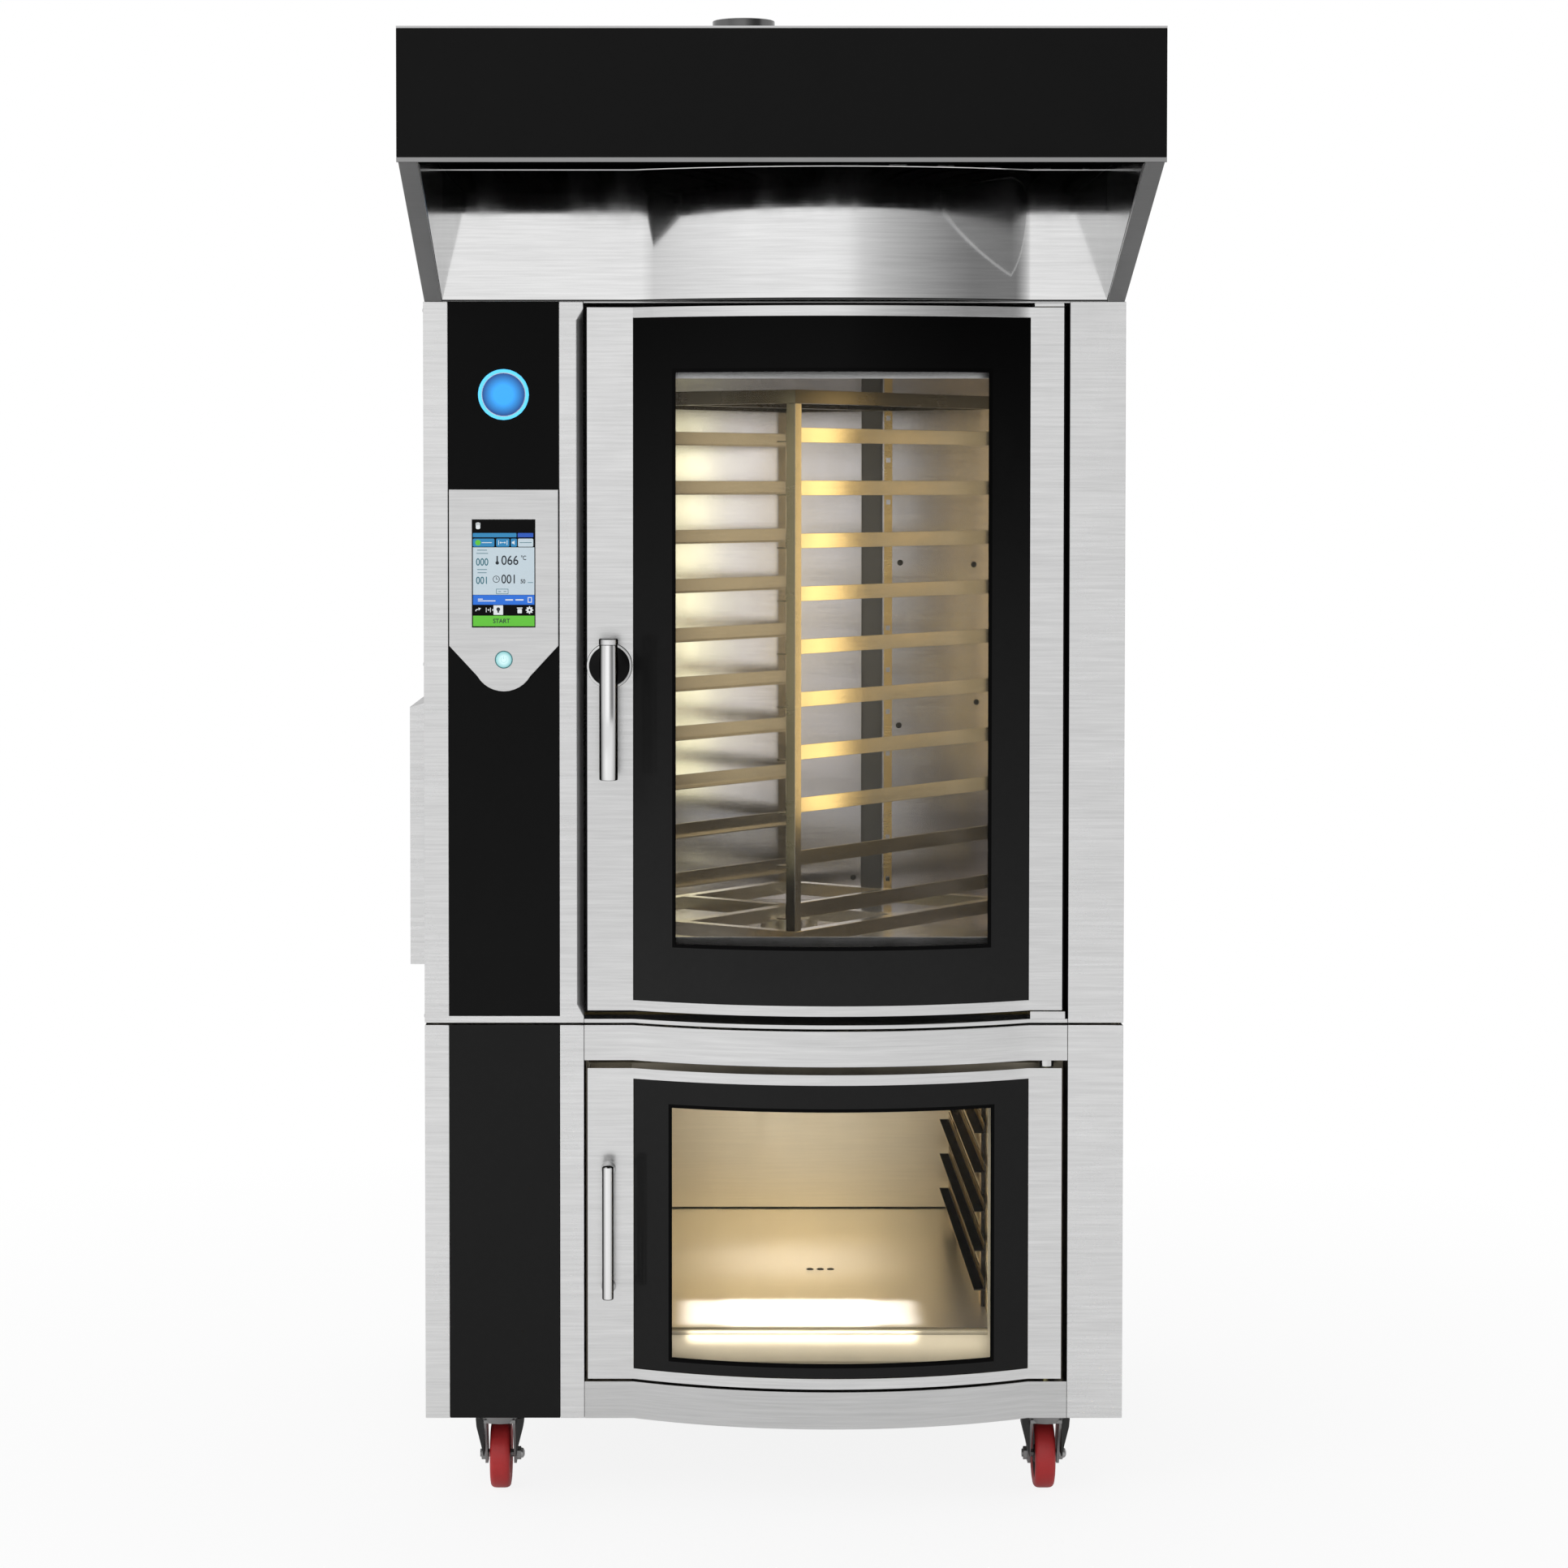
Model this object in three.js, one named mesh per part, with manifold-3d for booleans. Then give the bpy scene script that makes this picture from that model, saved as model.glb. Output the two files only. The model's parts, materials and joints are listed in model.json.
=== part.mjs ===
// Rotating rack oven: a ten-level convection oven with a turning rack, standing on a proofing
// cabinet on four castors, under an extraction hood.
// Millimetres, +Z up, front towards -Y. Inside this file X is measured from the cabinet's centre
// line, Y from the flat front plane towards the rear, and Z from the floor. The whole group is then
// moved so that its origin is the bottom centre of its bounding box.

import * as THREE from 'three';
import { mergeVertices } from 'three/addons/utils/BufferGeometryUtils.js';
import { ConvexGeometry } from 'three/addons/geometries/ConvexGeometry.js';
import Module from 'manifold-3d';

const wasm = await Module();
wasm.setup();

// ---------------------------------------------------------------- driving dimensions

// general
const sheet = 2;                    // stainless sheet
const fitGap = 0.3;                 // clearance between pieces that are fitted together
const lap = 1;                      // how far joined solids and cutting tools run past a face
const arcSteps = 9;                 // pairs of facets along the curved front
const roundSteps = 16;              // facets round a turned piece
const smallSteps = 10;              // facets round a pin or a spindle

// cabinet
const cabinetWidth = 1000;
const cabinetDepth = 1050;
const frontReturn = 40;             // how far the front pieces wrap back round the sides
const rebateDepth = 66;             // from the front plane back to the door's sealing face
const controlColumnWidth = 228;
const outerStripWidth = 35;
const blackPanelWidth = 158.5;
const pocketDepth = 6;              // recess for the black panels
const edgeBevel = 10;               // bevel along the control column beside the door
const bevelEnd = 9;                 // plain corner left above and below that bevel
const bevelRunOut = 18;
const hingeColumnWidth = 79.5;
const panelThickness = 5;

// the curve that doors, beam, plinth, sill and hood wall share
const curveRise = 65;
const latchStileWidth = 65.5;       // flat part of the doors on the handle side
const hingeStileWidth = 47.5;       // flat part on the hinge side

// heights, from the floor up
const casterHeight = 133;
const chassisRim = 30;
const chassisFloor = 3;
const plinthHeight = 53;
const prooferDoorGap = 4;
const prooferDoorHeight = 448;
const beamGap = 11;
const beamHeight = 51;
const sectionGap = 3;
const sillHeight = 6;
const topRim = 36;                  // flange round the proofing cabinet's top that carries the oven
const spacerLength = 60;
const spacerInset = 20;             // from the casing's front and rear to the spacers
const ovenDoorGap = 12;
const ovenDoorHeight = 1004;
const headGap = 8;

// doors
const doorLatchGap = 5;
const doorHingeGap = 8.5;
const doorThickness = 52;
const doorCapHeight = 15;           // steel trim above and below the curved glass
const stileWall = 3;
const glassThickness = 6;
const glassSetback = 0.5;           // curved pane behind the steel trim's face
const innerGlassThickness = 5;
const innerFrameFront = 44;         // front face of the frame behind the curved glass
const windowSideMargin = 54.5;      // black border beside the clear window
const ovenWindowMargin = 85;        // black border above and below, measured inside the trim
const prooferWindowMargin = 38;
const glassRebate = 13;
const hingeInset = 21;              // hinge axis from the door's hinge edge
const hingeDepth = 15;              // hinge axis behind the front plane
const pinRadius = 5;
const pinClearance = 0.7;
const pinReach = 22;
const pinEndSpace = 12;             // hole left past the pin's end
const pinCollar = 6;                // collar round the pin, between door and beam
const hingeGap = 1;                 // between a door's end and its collar or hinge block
const doorEndBlock = 30;            // solid ends of the hinge stile, round the pins
const gasketWidth = 13;
const gasketSetback = 1;            // gasket's inner edge from the mouth's edge
const footBarHeight = 10;           // steel bar under the upper black panel
const hingeBlockLap = 4;            // lower hinge block past the door, in front and at the side

// oven chamber
const chamberSideSpace = 45;        // from the casing's outside to the chamber, each side
const chamberRearSpace = 145;
const chamberFloorRise = 75;        // chamber floor above the oven's bottom
const chamberHeadroom = 60;         // above the rack
const mouthMargin = 60;             // sealing land beside the chamber mouth, handle side
const mouthHingeMargin = 68;        // the same on the hinge side
const insulationThickness = 40;
const fanSpace = 110;               // from the chamber's side wall to the air baffle
const fanY = 705;
const fanRise = 232;                // fan axis above the chamber floor
const baffleReturn = 30;
const outletSlots = 9;
const outletPitch = 92;
const outletHeight = 70;
const outletWidth = 12;
const outletInset = 40;
const guardPitch = 58;
const guardWidth = 8;
const impellerRadius = 175;
const impellerWidth = 78;
const impellerSetback = 26;         // from the chamber's side wall to the wheel's back disc
const hubRecess = 4;                // shaft's end inside the hub
const bladeCount = 12;
const bladeThickness = 3;
const bladeSweep = 0.42;            // radians from root to tip
const hubRadius = 26;
const hubLength = 34;
const fanShaftRadius = 12;
const inletRadius = 120;
const motorRadius = 62;
const motorLength = 97;
const motorNose = 14;
const motorNoseRadius = 31;
const motorRearFin = 21;            // from the motor's rear to its first fin
const motorClearance = 6;
const motorFinHeight = 6;
const motorFins = 3;
const motorFinPitch = 24;
const motorFinWidth = 8;
const elementRadius = 190;
const elementTube = 5;
const elementTurns = 3;
const elementPitch = 20;
const elementStandoff = 30;         // first turn from the chamber's side wall
const elementLead = 0.06;           // share of the tube's length in each end that leaves the coil
const elementStart = -76;           // degrees, where the coil starts
const elementFill = 0.985;          // share of its full turns that the coil makes
const elementSides = 5;             // facets round the tube
const lampRise = 342;               // lamp's foot above the chamber floor
const lampLength = 440;
const lampWidth = 34;
const lampDepth = 40;
const lampCorner = 20;

// rack
const rackX = 33;
const rackY = 503;
const rackAngle = 52.7;             // degrees from +X to the rails
const rackLength = 575;
const trayWidth = 400;
const trayClearance = 2;            // each side of a tray
const rackLevels = 10;
const rackPitch = 78;
const rackFootroom = 28;            // from the base frame to the first rail
const rackHeadroom = 46;            // from the last rail to the top frame
const railHeight = 22;
const railLedge = 18;
const railSheet = 2;
const postSize = 16;
const frameBar = 20;
const tableHeight = 18;             // base frame above the chamber floor
const turntableRadius = 45;
const turntableGap = 3;
const driveShaftRadius = 15;
const driveShaftDepth = 36;         // from the chamber floor's underside down into the gearbox
const shaftClearance = 3;
const gearboxHalf = 55;
const gearboxHeight = 75;
const gearboxClearance = 3;
const gearPlateHalf = 75;
const gearPlateThickness = 6;
const carrierWall = 12;

// proofing cabinet
const prooferLatchMargin = 17;      // sealing land beside the proofing chamber, handle side
const prooferHingeMargin = 102.5;
const prooferRearSpace = 98;
const prooferFloorRise = 63;        // above the plinth
const prooferHeight = 376;
const runnerCount = 6;
const runnerPitch = 58;
const firstRunnerRise = 41;         // above the proofing chamber's floor
const runnerLedge = 22;
const runnerHeight = 14;
const runnerFront = 60;             // from the sealing face to the runners
const runnerRear = 40;              // from the runners to the liner's rear wall
const runnerPostInset = 90;
const runnerPostWidth = 30;
const runnerPostThickness = 6;
const runnerPostTop = 12;           // uprights above the top runner
const landLap = 10;                 // sealing land above and below the door
const drainPitch = 16;
const drainRadius = 3;
const drainInset = 398;             // from the proofing chamber's front

// controls
const plateThickness = 2.5;
const plateDrop = 267;              // from the oven's top
const plateStraight = 223;          // height of the plate's straight part
const plateTaper = 43;
const plateTipHalf = 38;            // half the width where the rounded tip starts
const plateTip = 288;               // from the plate's top to its tip
const plateMargin = 1.5;
const screenWidth = 89.5;
const screenHeight = 153;
const screenDrop = 43;              // from the plate's top
const buttonDrop = 242.5;
const buttonRadius = 11;
const buttonTravel = 2;             // the head stands proud by its travel
const buttonLip = 3;
const buttonStem = 20;
const buttonFlange = 3.7;
const statusDrop = 132;             // from the oven's top
const statusRadius = 36;
const statusChamfer = 2;
const statusProud = 1;              // lens in front of the glass
const screenRecess = 0.5;

// handles
const leverRise = 494;              // pivot above the door's bottom
const leverInset = 32;              // pivot from the door's handle edge
const rosetteRadius = 32;
const rosetteThickness = 12;
const leverBarRadius = 13;
const leverTop = 41;                // bar above the pivot
const leverBottom = 159;            // bar below the pivot
const leverStandoff = 62;           // bar axis in front of the door
const leverCapHeight = 9;
const leverCapLip = 0.6;
const leverNeckRadius = 10;
const spindleRadius = 8;
const camThickness = 8;
const camWidth = 18;
const camReach = 26;
const pullInset = 30;
const pullRadius = 8;
const pullRise = 129;               // bar's foot above the door's bottom
const pullLength = 181;
const pullStandoff = 45;
const pullPostInset = 6;            // posts from the bar's ends
const pullPostRadius = 6;
const pullFootRadius = 10.5;
const pullFootThickness = 4;

// side box over the fan motor
const sideBoxReach = 60;
const sideBoxDepth = 400;
const sideBoxRise = 19;             // above the oven's bottom
const sideBoxHeight = 420;
const sideBoxSlope = 16;
const sideVentCount = 9;
const sideVentPitch = 26;
const sideVentHeight = 7;
const sideVentRise = 90;
const sideVentInset = 60;

// cooling slots in the rear panels
const rearVentColumns = 2;
const rearVentRows = 6;
const rearVentLength = 150;
const rearVentGap = 50;
const prooferVentRise = 80;         // above the plinth
const ovenVentDrop = 300;           // below the oven's top
const rearVentPitch = 26;
const rearVentHeight = 7;

// hood
const hoodOverhang = 454;
const hoodDepth = 480;              // depth of the part that stands on the oven
const hoodSide = 25;
const hoodInset = 2;
const hoodSkirt = 158;              // from the oven's top to the fascia's lower lip
const hoodLip = 6;
const fasciaHeight = 167;
const fasciaThickness = 5;
const hoodTopTrim = 3;
const hoodWallHeight = 189;
const hoodWallDepth = 30;
const hoodLipReturn = 31;           // depth of the lip under the fascia
const hoodRib = 4;                  // wall of the side panels along the oven's front
const filterThickness = 25;
const filterRim = 22;
const filterRearY = 24;
const filterSlats = 13;
const slatHalf = 22;
const slatThickness = 2.5;
const flueX = -43;
const flueY = 100;
const flueRadius = 45;
const flueHeight = 74;
const flueFlange = 16;

// casters
const casterInset = 102;            // wheel centre from the cabinet's sides
const casterEndInset = 125;         // wheel centre from the front plane and from the rear
const casterTrail = 30;
const wheelRadius = 50;
const wheelWidth = 32;
const axleRadius = 6;
const forkSheet = 4;
const swivelRadius = 34;
const padSize = 95;
const padThickness = 6;
const wheelClearance = 3;
const crownDrop = 16;               // from the swivel head's top to the fork's bridge
const bridgeHalf = 24;
const forkHeadFlare = 2;
const forkHeadTaper = 6;
const cheekFront = 14;              // cheeks round the axle, measured from its centre
const cheekRear = 18;
const cheekDrop = 13;
const cheekRise = 6;
const cheekCorner = 5;
const axleNut = 10;
const axleNutThickness = 6;
const axleEnd = 8;
const treadWidth = 18;
const tyreDepth = 14;
const wheelHubRadius = 20;
const hubSetback = 1;
const webSetback = 6;

// rear cable gland
const glandInset = 120;             // from the cabinet's side
const glandRise = 90;
const glandReach = 28;
const glandFlange = 22;
const glandBody = 17;
const glandBore = 7;
const glandFlangeThickness = 6;
const glandBodyReach = 18;
const glandWall = 4;
const glandSeat = 8;                // blind end of the gland's bore

// ---------------------------------------------------------------- derived places

const left = -cabinetWidth / 2;
const right = cabinetWidth / 2;
const columnRight = left + controlColumnWidth;
const hingeColumnLeft = right - hingeColumnWidth;
const panelLeft = left + outerStripWidth;
const panelRight = panelLeft + blackPanelWidth;

const doorLeft = columnRight + doorLatchGap;
const doorRight = hingeColumnLeft - doorHingeGap;
const curveLeft = doorLeft + latchStileWidth;
const curveRight = doorRight - hingeStileWidth;
const curveMid = (curveLeft + curveRight) / 2;
const curveHalf = (curveRight - curveLeft) / 2;
const curveRadius = (curveHalf ** 2 + curveRise ** 2) / (2 * curveRise);
const curveCentreY = curveRadius - curveRise;
const hingeX = doorRight - hingeInset;

const plinthTop = casterHeight + plinthHeight;
const prooferDoorBottom = plinthTop + prooferDoorGap;
const prooferDoorTop = prooferDoorBottom + prooferDoorHeight;
const beamBottom = prooferDoorTop + beamGap;
const beamTop = beamBottom + beamHeight;
const ovenBottom = beamTop + sectionGap;
const sillTop = ovenBottom + sillHeight;
const ovenDoorBottom = sillTop + ovenDoorGap;
const ovenDoorTop = ovenDoorBottom + ovenDoorHeight;
const ovenTop = ovenDoorTop + headGap;
const lipBottom = ovenTop + hoodSkirt;
const fasciaBottom = lipBottom + hoodLip;
const fasciaTop = fasciaBottom + fasciaHeight;
const hoodTop = fasciaTop + hoodTopTrim;

const chamberWidth = cabinetWidth - 2 * chamberSideSpace;
const chamberBack = cabinetDepth - chamberRearSpace;
const chamberFloorZ = ovenBottom + chamberFloorRise;
const rackWidth = trayWidth + 2 * (trayClearance + railSheet + postSize - lap);
const rackBaseZ = chamberFloorZ + tableHeight;
const firstRailZ = rackBaseZ + frameBar + rackFootroom;
const rackTopZ = firstRailZ + (rackLevels - 1) * rackPitch + rackHeadroom;
const chamberTop = rackTopZ + frameBar + chamberHeadroom;
const baffleX = -chamberWidth / 2 + fanSpace;
const fanZ = chamberFloorZ + fanRise;

const prooferLeftX = columnRight + prooferLatchMargin;
const prooferRightX = hingeColumnLeft - prooferHingeMargin;
const prooferBack = cabinetDepth - prooferRearSpace;
const prooferFloorZ = plinthTop + prooferFloorRise;
const firstRunnerZ = prooferFloorZ + firstRunnerRise;

const plateTopZ = ovenTop - plateDrop;
const buttonZ = plateTopZ - buttonDrop;
const statusZ = ovenTop - statusDrop;
const leverX = doorLeft + leverInset;
const leverZ = ovenDoorBottom + leverRise;
const pullX = doorLeft + pullInset;
const pullBottomZ = prooferDoorBottom + pullRise;
const pullTopZ = pullBottomZ + pullLength;
const sideBoxY = fanY - sideBoxDepth / 2;
const sideBoxBottomZ = ovenBottom + sideBoxRise;
const sideBoxTopZ = sideBoxBottomZ + sideBoxHeight;
const casterX = cabinetWidth / 2 - casterInset;
const mouthLeft = columnRight + mouthMargin;
const mouthRight = hingeColumnLeft - mouthHingeMargin;
const lateralCentre = (right + left - sideBoxReach) / 2;
const depthCentre = (cabinetDepth + glandReach - hoodOverhang) / 2;

// ---------------------------------------------------------------- materials

function finish(color, roughness, metalness, extra = {}) {
  return new THREE.MeshStandardMaterial({ color, roughness, metalness, ...extra });
}

const materials = {
  brushedSteel: finish(0xc9cacb, 0.34, 0.9),
  innerSteel: finish(0xb9b2a6, 0.28, 0.9),
  polishedSteel: finish(0xd8d9da, 0.12, 1),
  galvanised: finish(0x9a9ea0, 0.5, 0.8),
  blackGlass: finish(0x0b0b0c, 0.08, 0),
  clearGlass: finish(0x2a2a28, 0.05, 0, { transparent: true, opacity: 0.35 }),
  blackPlastic: finish(0x141415, 0.3, 0),
  screen: finish(0x1d5fa8, 0.1, 0),
  blueLens: finish(0x2f9bf2, 0.15, 0),
  paleLens: finish(0xd6f2f4, 0.2, 0),
  lampGlass: finish(0xfff0c4, 0.1, 0),
  rubber: finish(0x1c1c1c, 0.8, 0),
  redTyre: finish(0xb3141b, 0.45, 0),
  castMotor: finish(0x3b4d63, 0.5, 0.2),
  mineralWool: finish(0xc9b98a, 0.95, 0),
};

// ---------------------------------------------------------------- solids

const oven = new THREE.Group();
oven.position.set(-lateralCentre, -depthCentre, 0);

function addPart(name, geometry, material, parent = oven) {
  const mesh = new THREE.Mesh(geometry, material);
  mesh.name = name;
  parent.add(mesh);
  return mesh;
}

function toSolid(geometry) {
  const bare = geometry.clone();
  bare.deleteAttribute('normal');
  bare.deleteAttribute('uv');
  const merged = mergeVertices(bare, 1e-4);
  return new wasm.Manifold(new wasm.Mesh({
    numProp: 3,
    vertProperties: new Float32Array(merged.attributes.position.array),
    triVerts: new Uint32Array(merged.index.array),
  }));
}

function fromSolid(solid) {
  const mesh = solid.getMesh();
  const geometry = new THREE.BufferGeometry();
  geometry.setAttribute('position', new THREE.BufferAttribute(mesh.vertProperties, 3));
  geometry.setIndex(new THREE.BufferAttribute(mesh.triVerts, 1));
  return geometry;
}

// joins the geometries of a list into one body
function join(pieces) {
  return fromSolid(pieces.map(toSolid).reduce((a, b) => a.add(b)));
}

// takes the geometries of a list out of a body
function cut(body, tools) {
  return fromSolid(tools.map(toSolid).reduce((a, b) => a.subtract(b), toSolid(body)));
}

function block(x0, x1, y0, y1, z0, z1) {
  const geometry = new THREE.BoxGeometry(x1 - x0, y1 - y0, z1 - z0);
  return geometry.translate((x0 + x1) / 2, (y0 + y1) / 2, (z0 + z1) / 2);
}

// a plan outline in X and Y, raised from z0 to z1
function upright(shape, z0, z1, curveSegments = arcSteps) {
  const options = { depth: z1 - z0, bevelEnabled: false, curveSegments };
  return new THREE.ExtrudeGeometry(shape, options).translate(0, 0, z0);
}

// a front outline in X and Z, from y0 back to y1
function frontward(shape, y0, y1, curveSegments = roundSteps) {
  const options = { depth: y1 - y0, bevelEnabled: false, curveSegments };
  return new THREE.ExtrudeGeometry(shape, options).rotateX(Math.PI / 2).translate(0, y1, 0);
}

// a side outline in Y and Z, from x0 to x1
function sideward(shape, x0, x1, curveSegments = roundSteps) {
  const options = { depth: x1 - x0, bevelEnabled: false, curveSegments };
  const geometry = new THREE.ExtrudeGeometry(shape, options);
  return geometry.rotateX(Math.PI / 2).rotateZ(Math.PI / 2).translate(x0, 0, 0);
}

function rodZ(x, y, z0, z1, radius, steps = roundSteps) {
  const geometry = new THREE.CylinderGeometry(radius, radius, z1 - z0, steps);
  return geometry.rotateX(Math.PI / 2).translate(x, y, (z0 + z1) / 2);
}

function rodY(x, z, y0, y1, radius, steps = roundSteps) {
  const geometry = new THREE.CylinderGeometry(radius, radius, y1 - y0, steps);
  return geometry.translate(x, (y0 + y1) / 2, z);
}

function rodX(y, z, x0, x1, radius, steps = roundSteps) {
  const geometry = new THREE.CylinderGeometry(radius, radius, x1 - x0, steps);
  return geometry.rotateZ(Math.PI / 2).translate((x0 + x1) / 2, y, z);
}

function outline(points) {
  return new THREE.Shape(points.map(([a, b]) => new THREE.Vector2(a, b)));
}

// a sheet folded along a path in plan: the path is its outer face, the sheet lies on its left
function foldedSheet(path, thickness) {
  const inner = path.map(([x, y], i) => {
    const before = path[Math.max(i - 1, 0)];
    const after = path[Math.min(i + 1, path.length - 1)];
    const a = i === 0 ? null : unit(x - before[0], y - before[1]);
    const b = i === path.length - 1 ? null : unit(after[0] - x, after[1] - y);
    const [u, v] = [a ?? b, b ?? a];
    const bend = 1 + u[0] * v[0] + u[1] * v[1];
    const normal = [-(u[1] + v[1]) / bend, (u[0] + v[0]) / bend];
    return [x + normal[0] * thickness, y + normal[1] * thickness];
  });
  return outline([...path, ...inner.reverse()]);
}

function unit(x, y) {
  const length = Math.hypot(x, y);
  return [x / length, y / length];
}

// plan outline of a piece with the shared curved front, set back by inset, closed at backY
function curvedFront(x0, x1, inset, backY) {
  const radius = curveRadius - inset;
  const half = Math.min(curveHalf, Math.sqrt(radius ** 2 - (curveCentreY - inset) ** 2));
  const swing = Math.asin(half / radius);
  const shape = new THREE.Shape();
  shape.moveTo(x0, backY);
  shape.lineTo(x0, inset);
  shape.absarc(curveMid, curveCentreY, radius, -Math.PI / 2 - swing, -Math.PI / 2 + swing, false);
  shape.lineTo(x1, inset);
  shape.lineTo(x1, backY);
  shape.closePath();
  return shape;
}

// plan outline of a curved pane between x0 and x1
function curvedPane(x0, x1, inset, thickness) {
  const outer = curveRadius - inset;
  const inner = outer - thickness;
  const angle = (x, radius) => -Math.PI / 2 + Math.asin((x - curveMid) / radius);
  const shape = new THREE.Shape();
  shape.absarc(curveMid, curveCentreY, outer, angle(x0, outer), angle(x1, outer), false);
  shape.absarc(curveMid, curveCentreY, inner, angle(x1, inner), angle(x0, inner), true);
  shape.closePath();
  return shape;
}

// a shell with the shared curved front, open at the back
function curvedChannel(x0, x1, z0, z1, depth) {
  const body = upright(curvedFront(x0, x1, 0, depth), z0, z1);
  const inside = curvedFront(x0 + sheet, x1 - sheet, sheet, depth + lap);
  const hollow = upright(inside, z0 + sheet, z1 - sheet);
  return cut(body, [hollow]);
}

// a box-shaped shell: the inner box takes the outer one away wherever it reaches past it
function shell(outer, inner) {
  return cut(block(...outer), [block(...inner)]);
}

// ---------------------------------------------------------------- proofing cabinet

function addChassis() {
  const inner = cabinetWidth / 2 - sheet - fitGap;
  const pan = shell(
    [-inner, inner, rebateDepth, cabinetDepth - sheet - fitGap, casterHeight, casterHeight + chassisRim],
    [-inner + sheet, inner - sheet, rebateDepth + sheet, cabinetDepth - 2 * sheet - fitGap,
      casterHeight + chassisFloor, casterHeight + chassisRim + lap],
  );
  const pads = casterPlaces().map(({ x, y }) => block(
    x - padSize / 2, x + padSize / 2, y - casterTrail - padSize / 2, y - casterTrail + padSize / 2,
    casterHeight - padThickness, casterHeight,
  ));
  addPart('chassis', join([pan, ...pads]), materials.galvanised);
}

function addProoferCasing() {
  const walls = shell(
    [left, right, frontReturn, cabinetDepth, casterHeight, beamTop],
    [left + sheet, right - sheet, frontReturn - lap, cabinetDepth - sheet,
      casterHeight - lap, beamTop + lap],
  );
  const rim = shell(
    [left, right, rebateDepth, cabinetDepth, beamTop - sheet, beamTop],
    [left + topRim, right - topRim, rebateDepth - lap, cabinetDepth - topRim,
      beamTop - sheet - lap, beamTop + lap],
  );
  const vents = rearVents(plinthTop + prooferVentRise);
  addPart('proofer_casing', cut(join([walls, rim]), vents), materials.brushedSteel);
}

// rows of cooling slots in a rear panel, starting at height z0
function rearVents(z0) {
  const slots = [];
  for (let column = 0; column < rearVentColumns; column += 1) {
    const x = (column - (rearVentColumns - 1) / 2) * (rearVentLength + rearVentGap);
    for (let row = 0; row < rearVentRows; row += 1) {
      const z = z0 + row * rearVentPitch;
      slots.push(block(x - rearVentLength / 2, x + rearVentLength / 2,
        cabinetDepth - sheet - lap, cabinetDepth + lap, z, z + rearVentHeight));
    }
  }
  return slots;
}

function addProoferLiner() {
  const x1 = prooferRightX;
  const y0 = rebateDepth + sheet;
  const y1 = prooferBack;
  const z1 = prooferFloorZ + prooferHeight;
  const tub = shell(
    [prooferLeftX - sheet, x1 + sheet, rebateDepth, y1 + sheet, prooferFloorZ - sheet, z1 + sheet],
    [prooferLeftX, x1, rebateDepth - lap, y1, prooferFloorZ, z1],
  );
  const land = shell(
    [columnRight + fitGap, hingeColumnLeft - fitGap, rebateDepth, y0,
      plinthTop - landLap, beamBottom + landLap],
    [prooferLeftX, x1, rebateDepth - lap, y0 + lap, prooferFloorZ, z1],
  );
  const drain = [-1, 0, 1].map((step) => rodZ(curveMid + step * drainPitch, y0 + drainInset,
    prooferFloorZ - sheet - lap, prooferFloorZ + lap, drainRadius, 8));
  addPart('proofer_liner', cut(join([tub, land]), drain), materials.innerSteel);
}

// ledges bent from sheet on two uprights, screwed to a side wall of the proofing cabinet
function runnerRack(name, wallX, inward) {
  const across = (distance) => wallX + inward * distance;
  const y0 = rebateDepth + runnerFront;
  const y1 = prooferBack - sheet - runnerRear;
  const topZ = firstRunnerZ + (runnerCount - 1) * runnerPitch + runnerHeight + runnerPostTop;
  const legX = runnerPostThickness - lap;
  const [p0, p1] = [across(fitGap), across(runnerPostThickness)].sort((a, b) => a - b);
  const pieces = [y0 + runnerPostInset, y1 - runnerPostInset].map((y) => block(
    p0, p1, y - runnerPostWidth / 2, y + runnerPostWidth / 2, prooferFloorZ + fitGap, topZ,
  ));
  for (let level = 0; level < runnerCount; level += 1) {
    const z = firstRunnerZ + level * runnerPitch;
    pieces.push(frontward(ledgeShape(across, legX, runnerLedge, z, runnerHeight, sheet), y0, y1));
  }
  addPart(name, join(pieces), materials.innerSteel);
}

// an angle section in X and Z: a leg that stands at legX and a ledge that reaches out at its foot
function ledgeShape(across, legX, ledgeX, z, height, thickness) {
  return outline([
    [across(legX), z],
    [across(ledgeX), z],
    [across(ledgeX), z + thickness],
    [across(legX + thickness), z + thickness],
    [across(legX + thickness), z + height],
    [across(legX), z + height],
  ]);
}

function addPlinthAndBeam() {
  const x0 = columnRight + fitGap;
  const x1 = hingeColumnLeft - fitGap;
  const depth = rebateDepth - fitGap;
  const lowPin = hingePin(plinthTop - lap, prooferDoorBottom + pinReach);
  const highPin = hingePin(prooferDoorTop - pinReach, beamBottom + lap);
  const collar = hingePin(prooferDoorTop + hingeGap, beamBottom + lap, pinRadius + pinCollar);
  addPart('plinth', join([curvedChannel(x0, x1, casterHeight, plinthTop, depth), lowPin]),
    materials.brushedSteel);
  addPart('mid_beam', join([curvedChannel(x0, x1, beamBottom, beamTop, depth), collar, highPin]),
    materials.brushedSteel);
  const sill = upright(curvedFront(x0, x1, 0, frontReturn - fitGap), ovenBottom, sillTop);
  addPart('door_sill', sill, materials.brushedSteel);
}

// a round piece on the doors' hinge axis
function hingePin(z0, z1, radius = pinRadius) {
  return rodZ(hingeX, hingeDepth, z0, z1, radius, smallSteps);
}

// ---------------------------------------------------------------- front columns

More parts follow.
